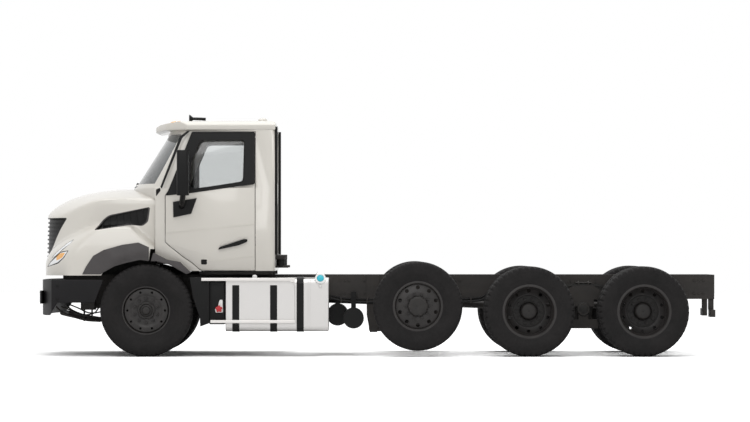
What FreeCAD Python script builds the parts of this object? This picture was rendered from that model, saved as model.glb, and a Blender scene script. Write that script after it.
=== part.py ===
"""Chassis cab truck, four axles: a steered front axle, a lifting pusher axle with its tyres held
off the ground, and a driven tandem on twin tyres. Millimetres. +X is forwards, +Y the truck's
left, +Z up. The origin is on the ground, under the middle of the truck's box."""

import FreeCAD
import Part
import math
import os

V = FreeCAD.Vector
OUT = "parts"

# ---------------------------------------------------------------- driving dimensions
length = 8290.0            # front bumper to the rear end plate
front_overhang = 1320.0    # front bumper to the steered axle
wheelbase = 5345.0         # steered axle to the middle of the tandem
tandem_spacing = 1390.0
pusher_spacing = 1354.0    # pusher axle to the first driven axle

rail_top = 990.0
rail_height = 300.0
rail_outer = 430.0         # half of the frame's outside width
rail_flange = 90.0
rail_wall = 11.0

steer_radius, steer_width, steer_centre_y = 560.0, 400.0, 1020.0
drive_radius, drive_width = 548.0, 278.0
drive_outer_y, drive_inner_y = 1078.0, 748.0
pusher_radius, pusher_width, pusher_centre_y = 542.0, 312.0, 1040.0
pusher_lift = 70.0         # the pusher tyres' height over the ground

kingpin_y = 890.0
kingpin_radius = 24.0
running = 0.3              # radial clearance of a wheel on its spindle and a pin in its bore
seat_gap = 0.3             # clearance between curved faces that lie on each other
panel_gap = 8.0            # shut line of a door or of the hood

cab_back = 1268.0
cab_floor = 1040.0
cab_belt = 2050.0          # foot of the windscreen
cab_eaves = 2760.0         # joint between the cab sides and the roof
cab_front = 2722.0         # face of the cab behind the hood
cab_wall = 68.0            # thickness of a whole door or cab side
half_sill, half_belt, half_eaves = 1025.0, 1055.0, 975.0

bumper_top, bumper_bottom, bumper_half = 935.0, 500.0, 1180.0
hood_bottom = 985.0
hinge_drop, hinge_back = 100.0, 95.0   # hood hinge: below and behind the bumper's front top edge
hinge_pin = 14.0

# ---------------------------------------------------------------- derived stations
front_x = length / 2
rear_x = -length / 2
steer_x = front_x - front_overhang
tandem_x = steer_x - wheelbase
drive_x = (tandem_x + tandem_spacing / 2, tandem_x - tandem_spacing / 2)
pusher_x = drive_x[0] + pusher_spacing
rail_bottom = rail_top - rail_height
pusher_z = pusher_lift + pusher_radius
hinge_x = front_x - hinge_back
hinge_z = bumper_top - hinge_drop


# ---------------------------------------------------------------- small tools
def box(x0, x1, y0, y1, z0, z1):
    """A block between two corners."""
    return Part.makeBox(x1 - x0, y1 - y0, z1 - z0, V(x0, y0, z0))


def rod(start, end, radius):
    """A round bar between two points."""
    a, b = V(*start), V(*end)
    return Part.makeCylinder(radius, (b - a).Length, a, b - a)


def face_of(points):
    return Part.Face(Part.makePolygon([V(*p) for p in points] + [V(*points[0])]))


def prism_y(outline, y0, y1):
    """An (x, z) outline carried along Y."""
    return face_of([(x, y0, z) for x, z in outline]).extrude(V(0, y1 - y0, 0))


def prism_x(outline, x0, x1):
    """A (y, z) outline carried along X."""
    return face_of([(x0, y, z) for y, z in outline]).extrude(V(x1 - x0, 0, 0))


def prism_z(outline, z0, z1):
    """An (x, y) outline carried along Z."""
    return face_of([(x, y, z0) for x, y in outline]).extrude(V(0, 0, z1 - z0))


def turned_y(profile, x, z):
    """A (y, radius) profile turned about the Y axis through (x, z)."""
    return face_of([(x, y, z + r) for y, r in profile]).revolve(V(x, 0, z), V(0, 1, 0), 360)


def fuse(shapes):
    whole = shapes[0]
    for shape in shapes[1:]:
        whole = whole.fuse(shape)
    return whole.removeSplitter()


def mirrored(shape):
    return shape.mirror(V(0, 0, 0), V(0, 1, 0))


def both(shape):
    """A piece and its mirror image on the other side of the truck."""
    return [shape, mirrored(shape)]


def save(name, shapes):
    solids = []
    for shape in shapes if isinstance(shapes, list) else [shapes]:
        solids += shape.Solids
    for solid in solids:
        if not solid.isValid() or solid.Volume <= 0:
            raise RuntimeError(name + " has a bad solid")
    Part.makeCompound(solids).exportStep(os.path.join(OUT, name + ".step"))


def edges_along(shape, axis, test):
    """Straight edges that run along an axis and whose middle passes a test."""
    found = []
    for edge in shape.Edges:
        if len(edge.Vertexes) != 2:
            continue
        run = edge.Vertexes[1].Point - edge.Vertexes[0].Point
        if run.Length > 1 and abs(run.dot(axis)) > 0.999 * run.Length:
            if test(edge.CenterOfMass):
                found.append(edge)
    return found


# ---------------------------------------------------------------- frame
def frame_rail():
    """Left rail: a C section, open towards the middle of the truck."""
    inner = rail_outer - rail_flange
    web = rail_outer - rail_wall
    outline = [(rail_outer, rail_bottom), (rail_outer, rail_top), (inner, rail_top),
               (inner, rail_top - rail_wall), (web, rail_top - rail_wall),
               (web, rail_bottom + rail_wall), (inner, rail_bottom + rail_wall),
               (inner, rail_bottom)]
    return prism_x(outline, rear_x + rail_wall, front_x - 250)


def crossmembers():
    """Channels between the rail webs, and the drilled plate across the rear end."""
    web = rail_outer - rail_wall
    members = []
    for x in (3700.0, 1180.0, 60.0, -1080.0, tandem_x, -3900.0):
        low, high = rail_bottom + rail_wall, rail_top - rail_wall
        deep = 140.0 if x > 0 else 200.0
        middle = (low + high) / 2
        low, high = (low, low + 90) if x == 3700.0 else (middle - deep / 2, middle + deep / 2)
        outline = [(x - 45, low), (x + 45, low), (x + 45, low + 8), (x - 37, low + 8),
                   (x - 37, high - 8), (x + 45, high - 8), (x + 45, high), (x - 45, high)]
        members.append(prism_y(outline, -web, web))
    plate = box(rear_x, rear_x + rail_wall, -rail_outer, rail_outer, rail_bottom, rail_top)
    for y, z in end_plate_holes():
        plate = plate.cut(rod((rear_x - 1, y, z), (rear_x + rail_wall + 1, y, z), end_hole_radius))
    return members + [plate]


end_hole_radius = 10.5
end_hole_pitch_y, end_hole_pitch_z = 160.0, 90.0


def end_plate_holes():
    middle = rail_bottom + rail_height / 2
    return [(sy * end_hole_pitch_y / 2, middle + sz * end_hole_pitch_z / 2)
            for sy in (-1, 1) for sz in (-1, 1)]


# ---------------------------------------------------------------- wheels
def tyre(radius, width, bead, y, x, z):
    """A plain tyre: flat tread, rounded shoulders, bulged sides, bead inside."""
    h = width / 2
    profile = [(y - h * 0.72, bead), (y - h * 0.97, bead + 45), (y - h, (bead + radius) / 2),
               (y - h * 0.93, radius - 34), (y - h * 0.80, radius - 8), (y - h * 0.6, radius),
               (y + h * 0.6, radius), (y + h * 0.80, radius - 8), (y + h * 0.93, radius - 34),
               (y + h, (bead + radius) / 2), (y + h * 0.97, bead + 45), (y + h * 0.72, bead)]
    return turned_y(profile, x, z)


def hand_holes(shape, x, z, y0, y1, circle, radius):
    """Ten round vent holes through a wheel disc."""
    for k in range(10):
        a = math.radians(36 * k + 18)
        cx, cz = x + circle * math.sin(a), z + circle * math.cos(a)
        shape = shape.cut(rod((cx, y0, cz), (cx, y1, cz), radius))
    return shape


def steer_wheel(x, z):
    """Wide front wheel: rim, disc near the outer face, hub and drum in one."""
    y, h = steer_centre_y, steer_width / 2 * 0.72
    bead = steer_bead
    barrel = [(y - h, bead - 0.3), (y - h, bead - 22), (y + h - 18, bead - 30), (y + h, bead - 10),
              (y + h, bead - 0.3)]
    rim = turned_y(barrel, x, z)
    disc = turned_y([(y + h - 62, 70), (y + h - 38, 70), (y + h - 22, 190), (y + h - 22, bead - 25),
                     (y + h - 44, bead - 25), (y + h - 44, 200)], x, z)
    disc = hand_holes(disc, x, z, y, y + h + 10, 222, 16)
    hub = turned_y([(kingpin_y + 68, spindle_radius + running), (y + h - 20, spindle_radius + running),
                    (y + h - 20, 0), (y + h + 22, 0), (y + h + 22, 48), (y + h + 4, 62),
                    (y + h + 4, 96), (y + h - 38, 100), (y + h - 62, 140), (kingpin_y + 100, 150),
                    (kingpin_y + 68, 120)], x, z)
    return fuse([rim, disc, hub])


steer_bead = 290.0
spindle_radius = 42.0


def twin_wheel(x, z):
    """Two rims back to back on one hub, with the drum inside the inner one."""
    bead = drive_bead
    h = drive_width / 2 * 0.74
    parts = []
    for y, side in ((drive_outer_y, 1), (drive_inner_y, -1)):
        parts.append(turned_y([(y - h, bead - 0.3), (y - h, bead - 20), (y - side * 30, bead - 34),
                               (y + h, bead - 20), (y + h, bead - 0.3)], x, z))
    disc_y = (drive_outer_y + drive_inner_y) / 2
    disc = turned_y([(disc_y - 16, 150), (disc_y + 16, 150), (disc_y + 16, 215),
                     (drive_outer_y - 40, bead - 25), (drive_outer_y - 70, bead - 25),
                     (drive_inner_y + 70, bead - 25), (drive_inner_y + 40, bead - 25),
                     (disc_y - 16, 215)], x, z)
    disc = hand_holes(disc, x, z, disc_y - 200, disc_y + 200, 249, 22)
    hub = turned_y([(drive_hub_in, drive_spindle + running), (disc_y + 96, drive_spindle + running),
                    (disc_y + 96, 0), (disc_y + 128, 0), (disc_y + 128, 92), (disc_y + 108, 106),
                    (disc_y + 20, 112), (disc_y + 16, 190), (disc_y - 16, 190),
                    (disc_y - 20, 205), (drive_hub_in, 205), ], x, z)
    return fuse(parts + [disc, hub])


drive_bead = 311.0
drive_spindle = 66.0
drive_hub_in = 690.0
axle_arm = drive_spindle   # half height of the axle's square arms


def pusher_wheel(x, z):
    """Single wheel with its disc domed outwards."""
    y, h, bead = pusher_centre_y, pusher_width / 2 * 0.74, steer_bead
    rim = turned_y([(y - h, bead - 0.3), (y - h, bead - 20), (y - 20, bead - 32), (y + h, bead - 20),
                    (y + h, bead - 0.3)], x, z)
    disc = turned_y([(y + h - 12, 120), (y + h + 10, 120), (y + h + 10, 178), (y + h - 6, 200),
                     (y + h - 22, bead - 16), (y + h - 44, bead - 18), (y + h - 26, 195),
                     (y + h - 12, 175)], x, z)
    disc = hand_holes(disc, x, z, y, y + h + 20, 236, 26)
    hub = turned_y([(pusher_hub_in, spindle_radius + running), (y + h + 14, spindle_radius + running),
                    (y + h + 14, 0), (y + h + 62, 0), (y + h + 62, 80), (y + h + 44, 100),
                    (y + h + 10, 104), (y + h + 10, 150), (y + h - 12, 150), (y + h - 40, 150),
                    (y, 190), (pusher_hub_in, 200)], x, z)
    return fuse([rim, disc, hub])


pusher_hub_in = 860.0


# ---------------------------------------------------------------- axles and steering
def front_beam():
    """Dropped beam with a boss for each kingpin."""
    z, w = steer_radius, 48.0
    boss_in = kingpin_y - 64
    outline = [(-kingpin_y, z - boss_half), (-kingpin_y, z + boss_half), (-boss_in, z + boss_half),
               (-620, z - 60), (620, z - 60), (boss_in, z + boss_half), (kingpin_y, z + boss_half),
               (kingpin_y, z - boss_half), (boss_in, z - boss_half), (600, z - 155), (-600, z - 155),
               (-boss_in, z - boss_half)]
    beam = prism_x(outline, steer_x - w, steer_x + w)
    for side in (1, -1):
        y = side * kingpin_y
        beam = beam.fuse(rod((steer_x, y, z - boss_half), (steer_x, y, z + boss_half), 44))
    for side in (1, -1):
        y = side * kingpin_y
        beam = beam.cut(rod((steer_x, y, z - 60), (steer_x, y, z + 60), kingpin_radius + running))
    return beam


arm_reach = 170.0          # kingpin to the track rod's ball joint, straight back
boss_half = 55.0           # half height of the beam's kingpin boss
lug_height, lug_radius = 44.0, 46.0
rod_drop = 120.0           # track rod below the hub


def knuckle():
    """Left steering knuckle: two lugs round the beam's boss, the kingpin, the wheel spindle, and an
    arm that runs straight back to a ball stud."""
    z, y = steer_radius, kingpin_y
    end = steer_centre_y + steer_width / 2 * 0.72 - 21
    near, far = boss_half + running, boss_half + running + lug_height
    pieces = [rod((steer_x, y, z - far), (steer_x, y, z + far), kingpin_radius)]
    for low in (z - far, z + near):
        pieces.append(rod((steer_x, y, low), (steer_x, y, low + lug_height), lug_radius))
        pieces.append(box(steer_x - 42, steer_x + 42, y, y + 61, low, low + lug_height))
    pieces.append(box(steer_x - 42, steer_x + 42, y + 50, y + 61, z - far, z + far))
    pieces.append(rod((steer_x, y + 50, z), (steer_x, end, z), spindle_radius))
    x = steer_x - arm_reach
    pieces.append(box(x, steer_x, y - 22, y + 22, z - far, z - far + 22))
    pieces.append(rod((x, y, z - far), (x, y, z - far + 22), 26))
    pieces.append(rod((x, y, z - rod_drop + 19), (x, y, z - far), 13))
    return fuse(pieces)


def track_rod():
    """Bar behind the beam with a ball joint housing under each arm."""
    x, z = steer_x - arm_reach, steer_radius - rod_drop
    top = z + 19 - running
    pieces = [rod((x, -kingpin_y, z), (x, kingpin_y, z), 17)]
    pieces += [rod((x, side * kingpin_y, z - 22), (x, side * kingpin_y, top), 27) for side in (1, -1)]
    return fuse(pieces)


spring_y, spring_width = 385.0, 88.0
spring_front, spring_rear = 640.0, 760.0


def front_spring():
    """Left leaf pack: the leaves, the clamp to the beam, the front hanger and the rear shackle."""
    y0, y1 = spring_y - spring_width / 2, spring_y + spring_width / 2
    seat = steer_radius - 60
    leaf = [(steer_x + spring_front, rail_bottom - 70), (steer_x + 330, seat + 62), (steer_x, seat + 30),
            (steer_x - 360, seat + 62), (steer_x - spring_rear, rail_bottom - 70)]
    top = [(x, z + 26) for x, z in leaf]
    pack = prism_y(leaf + top[::-1], y0, y1)
    second = prism_y([(steer_x + 400, seat + 70), (steer_x + 330, seat + 61), (steer_x, seat + 30),
                      (steer_x - 360, seat + 61), (steer_x - 430, seat + 70), (steer_x, seat + 6)], y0, y1)
    clamp = box(steer_x - 90, steer_x + 90, y0 - 12, y1 + 12, seat, seat + 80)
    hanger = box(steer_x + spring_front - 50, steer_x + spring_front + 40, y0, y1,
                 rail_bottom - 90, rail_bottom)
    shackle = box(steer_x - spring_rear - 30, steer_x - spring_rear + 30, y0, y1,
                  rail_bottom - 90, rail_bottom)
    return fuse([pack, second, clamp, hanger, shackle])


def drive_housing(x):
    """Driven axle: bowl with the final drive, banjo arms, spindles and pinion nose."""
    z = drive_radius
    bowl = turned_y([(-150, 0), (-150, 120), (-110, 200), (-40, 225), (40, 225), (110, 200),
                     (150, 120), (150, 0)], x, z)
    arms = box(x - 70, x + 70, -600, 600, z - axle_arm, z + axle_arm)
    spindle_end = (drive_outer_y + drive_inner_y) / 2 + 94
    spindle = rod((x, -spindle_end, z), (x, spindle_end, z), drive_spindle)
    flanges = [rod((x, side * 600, z), (x, side * (drive_hub_in - 6), z), 190) for side in (1, -1)]
    nose = rod((x, 0, z + 60), (x + 360, 0, z + 60), 85)
    return fuse([bowl, arms, spindle, nose] + flanges)


def tandem_suspension():
    """Both sides of the rear suspension, each one solid."""
    y0, y1 = rail_outer + 28, rail_outer + 28 + 100
    seat = drive_radius + axle_arm
    ends = tandem_spacing / 2
    leaves = prism_y([(tandem_x + ends + 80, seat), (tandem_x + ends + 80, seat + 60),
                      (tandem_x + 260, seat + 150), (tandem_x + 120, 860), (tandem_x - 120, 860),
                      (tandem_x - 260, seat + 150), (tandem_x - ends - 80, seat + 60),
                      (tandem_x - ends - 80, seat), (tandem_x - ends + 80, seat),
                      (tandem_x - 120, 690), (tandem_x + 120, 690), (tandem_x + ends - 80, seat)],
                     y0, y1)
    bracket = prism_y([(tandem_x - 150, rail_top - 60), (tandem_x + 150, rail_top - 60),
                       (tandem_x + 130, 690), (tandem_x + 100, 430), (tandem_x - 100, 430),
                       (tandem_x - 130, 690)], rail_outer, y0)
    trunnion = rod((tandem_x, y0, 566), (tandem_x, y1 + 30, 566), 72)
    saddle = box(tandem_x - 130, tandem_x + 130, y0, y1, 600, 690)
    casting = box(tandem_x - 180, tandem_x + 180, y0, y1, 330, 440)
    post = box(tandem_x - 60, tandem_x + 60, y0, y1, 440, 600)
    return both(fuse([leaves, bracket, trunnion, saddle, post, casting]))


def pusher_beam():
    """Drop-centre beam of the lifting axle with its two spindles."""
    z = pusher_z
    outline = [(-700, z - 60), (-700, z + 50), (-600, z + 50), (-470, z - 130), (470, z - 130),
               (600, z + 50), (700, z + 50), (700, z - 60), (520, z - 240), (-520, z - 240)]
    beam = prism_x(outline, pusher_x - 65, pusher_x + 65)
    end = pusher_centre_y + pusher_width / 2 * 0.74 + 12
    spindle = rod((pusher_x, -end, z), (pusher_x, end, z), spindle_radius)
    spindle = spindle.cut(box(pusher_x - 80, pusher_x + 80, -690, 690, z - 80, z + 80))
    plates = [rod((pusher_x, s * 690, z), (pusher_x, s * (pusher_hub_in - 6), z), 110) for s in (1, -1)]
    return fuse([beam, spindle] + plates)


def pusher_suspension():
    """Each side: hanger on the rail, trailing arm under the beam, and an air spring behind it."""
    y0, y1 = rail_outer, rail_outer + 16
    low = pusher_z - 240
    hanger = prism_y([(pusher_x + 460, rail_top), (pusher_x + 616, rail_top), (pusher_x + 616, 480),
                      (pusher_x + 580, 281), (pusher_x + 490, 281), (pusher_x + 460, 480)], y0, y1)
    arm = prism_y([(pusher_x + 590, 300), (pusher_x + 590, 390), (pusher_x + 470, 400),
                   (pusher_x + 100, low), (pusher_x - 320, low), (pusher_x - 320, low - 50),
                   (pusher_x + 100, low - 60), (pusher_x + 470, 290)], y0 - 70, y0)
    bag = rod((pusher_x - 220, y0 - 35, low), (pusher_x - 220, y0 - 35, rail_bottom), 115)
    return both(fuse([hanger, arm, bag]))


# ---------------------------------------------------------------- engine and driveline
engine_half = rail_outer - rail_flange        # the block fits between the rails' flanges
engine_front, engine_rear = 3560.0, 2750.0
gearbox_rear, gearbox_z = 1750.0, 720.0


def engine():
    """Engine and gearbox as plain blocks, with the radiator standing on the rails."""
    block = box(engine_rear, engine_front, -engine_half, engine_half, 640, 1560)
    gearbox = box(gearbox_rear, engine_rear, -250, 250, 640, cab_floor - 12)
    fan = rod((engine_front, 0, 1250), (engine_front + 120, 0, 1250), 90)
    core = box(engine_front + 120, engine_front + 230, -rail_outer, rail_outer, rail_top, 1640)
    return fuse([block, gearbox, fan, core])


def driveshafts():
    """Shaft from the gearbox to the first driven axle, and a short one to the second."""
    nose = [(x + 360, 0, drive_radius + 60) for x in drive_x]
    first = rod((gearbox_rear, 0, gearbox_z), nose[0], 45)
    second = rod((drive_x[0], 0, drive_radius + 60), nose[1], 40)
    shafts = []
    for shaft in (first, second):
        for x in drive_x:
            shaft = shaft.cut(drive_housing(x))
        shafts.append(max(shaft.cut(engine()).Solids, key=lambda solid: solid.Volume))
    return shafts


# ---------------------------------------------------------------- what hangs on the rails
tank_front, tank_rear = 1863.0, 611.0
tank_in, tank_out = 560.0, 1150.0
tank_low, tank_high = 307.0, 958.0
tank_corner = 70.0
strap_width, strap_skin = 84.0, 6.0
strap_x = (1738.0, 1279.0, 957.0)


def tank_block(grow):
    """The tank's rounded box, grown on its four long sides."""
    block = box(tank_rear, tank_front, tank_in - grow, tank_out + grow, tank_low - grow, tank_high + grow)
    return block.makeFillet(tank_corner + grow, edges_along(block, V(1, 0, 0), lambda p: True))


def fuel_tank():
    neck = rod((712, 1020, 940), (712, 1130, 1000), 52)
    return tank_block(0).fuse(neck)


def tank_straps():
    """Straps round the tank with their brackets on the rail."""
    straps = []
    for x in strap_x:
        slab = box(x - strap_width / 2, x + strap_width / 2, rail_outer, 1400, 200, 1100)
        bracket = box(x - strap_width / 2, x + strap_width / 2, rail_outer, tank_in + tank_corner,
                      tank_low + 30, tank_high)
        ring = tank_block(strap_skin).fuse(bracket).cut(tank_block(seat_gap))
        straps.append(ring.common(slab))
    return straps


bar_out, bar_thick = 1220.0, 36.0
step_front, step_rear = 2153.0, 1019.0
step_top_z, step_low_z = 920.0, 409.0


def steps():
    """Two tread bars that stand off the tank's straps."""
    inner = tank_out - tank_corner
    bars = []
    for z, front in ((step_top_z, step_front), (step_low_z, step_front - 110)):
        bar = box(step_rear, front, bar_out - 30, bar_out, z, z + bar_thick)
        for x in strap_x[:2]:
            bar = bar.fuse(box(x - 30, x + 30, inner, bar_out - 30, z, z + bar_thick))
        bars.append(bar.cut(tank_block(strap_skin + seat_gap)).removeSplitter())
    return bars


box_front, box_rear = 2059.0, 1871.0


def battery_box():
    return box(box_rear, box_front, rail_outer, 1120, 391, 900)


def side_box():
    """Exhaust clean-up box on the right, with two tread bars like those on the left."""
    body = box(step_rear, box_front, -tank_out, -tank_in, 391, tank_high)
    body = body.makeFillet(40, edges_along(body, V(1, 0, 0), lambda p: True))
    brackets = [box(x - 40, x + 40, -(tank_in + 30), -rail_outer, rail_bottom, tank_high - 45)
                for x in (1200.0, 1900.0)]
    whole = fuse([body] + brackets)
    for z, front in ((step_top_z - 60, step_front), (step_low_z + 60, step_front - 110)):
        whole = whole.fuse(box(step_rear, front, -bar_out, -bar_out + 30, z, z + bar_thick))
        for x in (1300.0, 1900.0):
            whole = whole.fuse(box(x - 30, x + 30, -bar_out + 20, -tank_out + 20, z, z + bar_thick))
    return whole.removeSplitter()


air_tank_a, air_tank_b = (507.0, 493.0, 133.0), (310.0, 461.0, 126.0)      # x, z, radius


def air_tanks():
    """Two air tanks that lie across the truck: one between the rails, one outside the left rail."""
    x, z, radius = air_tank_a
    inner = rod((x, -330, z), (x, rail_outer - 25, z), radius)
    inner = inner.fuse(box(x - 30, x + 30, rail_outer - 80, rail_outer - 25, z, rail_bottom))
    x, z, radius = air_tank_b
    outer = rod((x, rail_outer + 35, z), (x, 900, z), radius)
    outer = outer.fuse(box(x - 30, x + 30, rail_outer, rail_outer + 90, z, rail_bottom + 90))
    return [inner.removeSplitter(), outer.removeSplitter()]


def tail_lamps():
    """Lamp box and its bracket under each rail's rear end."""
    bracket = box(rear_x + 6, rear_x + 70, rail_outer - 90, rail_outer - 20, 560, rail_bottom)
    lamp = box(rear_x + 6, rear_x + 66, rail_outer - 90, rail_outer + 180, 470, 560)
    return both(bracket.fuse(lamp).removeSplitter())


# ---------------------------------------------------------------- bumper
bumper_skin = 45.0
stay_in, stay_out = rail_outer - rail_flange, rail_outer


def bumper():
    """Hollow bumper: a face and two swept ends, open behind and above, with the stays that bolt to
    the rails and the tube that the hood hinges on."""
    def plan(inset):
        return [(front_x - inset, 0), (front_x - 14 - inset, 600), (front_x - 57 - inset, 890),
                (front_x - 175 - inset * 0.6, bumper_half - inset), (3300, bumper_half - inset),
                (3300, 0)]
    shell = prism_z(plan(0), bumper_bottom, bumper_top)
    shell = shell.cut(prism_z(plan(bumper_skin), bumper_bottom - 1, bumper_top + 1))
    ends = prism_y([(3200, bumper_top + 40), (3346, bumper_top + 40), (3346, bumper_top - 20),
                    (3447, 655), (3900, 655), (4000, bumper_bottom), (4000, bumper_bottom - 20),
                    (3200, bumper_bottom - 20)], -1, 1300)
    shell = shell.cut(ends)
    whole = fuse([shell, mirrored(shell)])
    inner_face = front_x - bumper_skin
    stays = [box(front_x - 250, inner_face - 1, s * stay_out if s < 0 else stay_in,
                 -stay_in if s < 0 else stay_out, rail_bottom + 40, rail_top - 90) for s in (-1, 1)]
    fitted = [stay.fuse(box(inner_face - 30, inner_face + 2, stay.BoundBox.YMin, stay.BoundBox.YMax,
                            rail_bottom + 40, rail_top - 90)) for stay in stays]
    tube = rod((hinge_x, -stay_out, hinge_z), (hinge_x, stay_out, hinge_z), hinge_pin)
    return fuse([whole, tube] + fitted)


# ---------------------------------------------------------------- cab
cowl_foot = 1800.0
cowl_nose, cowl_side = 3045.0, 2665.0
floor_thick = 55.0


def plan_face(z, half_back, half_front, side_x, nose_x, inset=0.0):
    """Cab plan: straight back and sides, and a front bowed forward between the pillars."""
    a = V(cab_back + inset, -(half_back - inset), z)
    b = V(side_x - inset, -(half_front - inset), z)
    c = V(nose_x - inset, 0, z)
    d = V(side_x - inset, half_front - inset, z)
    e = V(cab_back + inset, half_back - inset, z)
    return Part.Wire([Part.LineSegment(a, b).toShape(), Part.Arc(b, c, d).toShape(),
                      Part.LineSegment(d, e).toShape(), Part.LineSegment(e, a).toShape()])


def greenhouse(inset, low, high):
    """The upper cab between two heights, as a straight loft of two bowed plans."""
    def at(z):
        t = (z - cab_belt) / (cab_eaves - cab_belt)
        half = half_belt + t * (half_eaves - half_belt)
        return plan_face(z, half, half - 45, cowl_side - t * 305, cowl_nose - t * 455, inset)
    return Part.makeLoft([at(low), at(high)], True, True)


def cowl(inset, low, high):
    return Part.Face(plan_face(low, half_belt, half_belt - 45, cowl_side, cowl_nose, inset)).extrude(
        V(0, 0, high - low))


def lower_cab(inset, low, high):
    half, sill = half_belt - inset, half_sill - inset
    outline = [(-sill, low), (-half, 1400), (-half, high), (half, high), (half, 1400), (sill, low)]
    return prism_x(outline, cab_back + inset, cab_front - inset)


arch_line = [(2284, 1020), (2420, 1150), (2577, 1178), (2738, 1262)]


def arch_cut(lift=0.0):
    """What the front wheel arch takes out of the cab's lower front."""
    outline = ([(2230, cab_floor - 60)] + arch_line
               + [(cab_front + 20, 1268), (cab_front + 20, cab_floor - 60)])
    return prism_y([(x - lift * 0.6, z + lift) for x, z in outline], -1300, 1300)


door_outline = [(1506, cab_floor + 4), (2165, cab_floor + 4), (2277, 1140), (2381, 1210), (2562, 1354),
                (2600, 1392), (2600, 1958), (2563, 2010), (2278, 2735), (1506, 2735)]
window_outline = [(1640, 2124), (1640, 2640), (2175, 2640), (2300, 2365), (2415, 2080), (2420, 2004),
                  (2096, 2050)]
door_hinge_x, door_hinge_y = 2604.0, 1059.0


def grown(outline, by):
    """An (x, z) outline offset outwards, or inwards if by is negative."""
    wire = Part.makePolygon([V(x, z, 0) for x, z in outline + outline[:1]])
    moved = wire.makeOffset2D(by, 2)
    return [(v.Point.x, v.Point.y) for v in moved.OrderedVertexes]


def cab_volumes():
    """The cab's outer solid and the room inside it."""
    outer = fuse([lower_cab(0, cab_floor, cab_belt), cowl(0, cowl_foot, cab_belt),
                  greenhouse(0, cab_belt, cab_eaves)]).cut(arch_cut())
    room = fuse([lower_cab(cab_wall, cab_floor + floor_thick, cab_belt),
                 cowl(cab_wall, cowl_foot + 40, cab_belt), greenhouse(cab_wall, cab_belt, cab_eaves + 1)])
    return outer, room.cut(arch_cut(90))


def door_slab(shape, gap):
    """The part of the cab's skin inside the door outline, kept within reach of the hinge."""
    slab = shape.common(prism_y(grown(door_outline, gap), 850, 1300))
    reach = door_hinge_x - door_outline[0][0] - gap - 2
    return slab.common(rod((door_hinge_x, door_hinge_y, 900), (door_hinge_x, door_hinge_y, 3000), reach))


def cab(outer, room):
    """Cab shell with both door openings, the windscreen opening and the rear window cut."""
    shell = outer.cut(room)
    opening = prism_y(grown(door_outline, panel_gap / 2), 850, 1300)
    shell = shell.cut(opening).cut(mirrored(opening))
    shell = shell.cut(screen_cutter(0)).cut(rear_cutter(0))
    feet = [box(x, x + 110, s * rail_outer if s < 0 else rail_outer - rail_flange,
                -(rail_outer - rail_flange) if s < 0 else rail_outer, rail_top, cab_floor)
            for x in (cab_back + 30, 2080.0) for s in (-1, 1)]
    return fuse([shell] + feet)


def screen_cutter(inset):
    """Windscreen opening: the part of the bowed front between the pillars."""
    y = 880 - inset
    return box(2300, 3200, -y, y, cab_belt + 55 + inset, cab_eaves - 50 - inset)


def rear_cutter(inset):
    return box(cab_back - 10, cab_back + cab_wall + 10, -620 + inset, 620 - inset, 2130 + inset, 2600 - inset)


def windscreen():
    skin = greenhouse(14, cab_belt, cab_eaves).cut(greenhouse(24, cab_belt - 1, cab_eaves + 1))
    return skin.common(screen_cutter(seat_gap))


def rear_window():
    return rear_cutter(seat_gap).common(box(cab_back + 20, cab_back + 28, -700, 700, 2000, 2700))


def door(outer, room):
    slab = door_slab(outer.cut(room), -panel_gap / 2)
    return slab.cut(prism_y(window_outline, 850, 1300))


def door_glass():
    sheet = greenhouse(26, cab_belt - 80, cab_eaves).cut(greenhouse(32, cab_belt - 81, cab_eaves + 1))
    return sheet.common(prism_y(grown(window_outline, -seat_gap), 850, 1300))


def mirror():
    """Mirror head on a bent arm from a base on the door skin."""
    skin = half_belt
    base = prism_y([(2215, 1925), (2505, 1880), (2500, 1690), (2285, 1735)], skin, skin + 18)
    arm = fuse([rod((2400, skin + 10, 1820), (2385, skin + 150, 1880), 34),
                rod((2385, skin + 150, 1880), (2370, skin + 260, 1975), 34)])
    arm = arm.cut(box(2200, 2600, 900, skin, 1700, 2000))
    head = box(2298, 2442, 1235, 1425, 1954, 2500)
    head = head.makeFillet(36, edges_along(head, V(0, 0, 1), lambda p: True))
    return fuse([base, arm, head])


def roof():
    """Roof cap with the sun visor drawn forward over the windscreen."""
    side = [(cab_back - 6, cab_eaves), (2620, cab_eaves), (2740, 2738), (2775, 2748), (2765, 2790),
            (2677, 2831), (2458, 2862), (2200, 2890), (1700, 2900), (cab_back + 40, 2890),
            (cab_back - 6, 2850)]
    plan = [(cab_back - 6, -half_eaves), (2340, -half_eaves), (2600, -800), (2740, -520), (2775, 0),
            (2740, 520), (2600, 800), (2340, half_eaves), (cab_back - 6, half_eaves)]
    cap = prism_y(side, -half_eaves, half_eaves).common(prism_z(plan, 2600, 3000))
    front = [(-half_eaves, 2600), (-half_eaves, 2820), (-half_eaves + 60, 2862), (0, 2915),
             (half_eaves - 60, 2862), (half_eaves, 2820), (half_eaves, 2600)]
    cap = cap.common(prism_x(front, 1000, 3000))
    return cap.cut(box(cab_back + cab_wall, 2330, -half_eaves + cab_wall, half_eaves - cab_wall, 2700, 2822))


wheel_tilt = 28.0          # steering wheel: its column over the level
column_radius = 20.0


def column_point(along):
    """A point on the steering column, measured back and up from the dash."""
    a = math.radians(wheel_tilt)
    return (2402 - along * math.cos(a), 480.0, 1880 + along * math.sin(a))


def dashboard():
    """Full-width dash with a round hole for the steering column."""
    face = cab_front - cab_wall
    outline = [(face, 1620), (face, 1990), (face - 60, 2010), (face - 210, 1985), (face - 260, 1900),
               (face - 220, 1760), (face - 140, 1620)]
    block = prism_y(outline, -half_belt + cab_wall + 30, half_belt - cab_wall - 30)
    return block.cut(rod(column_point(-70), column_point(60), column_radius + running))


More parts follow.
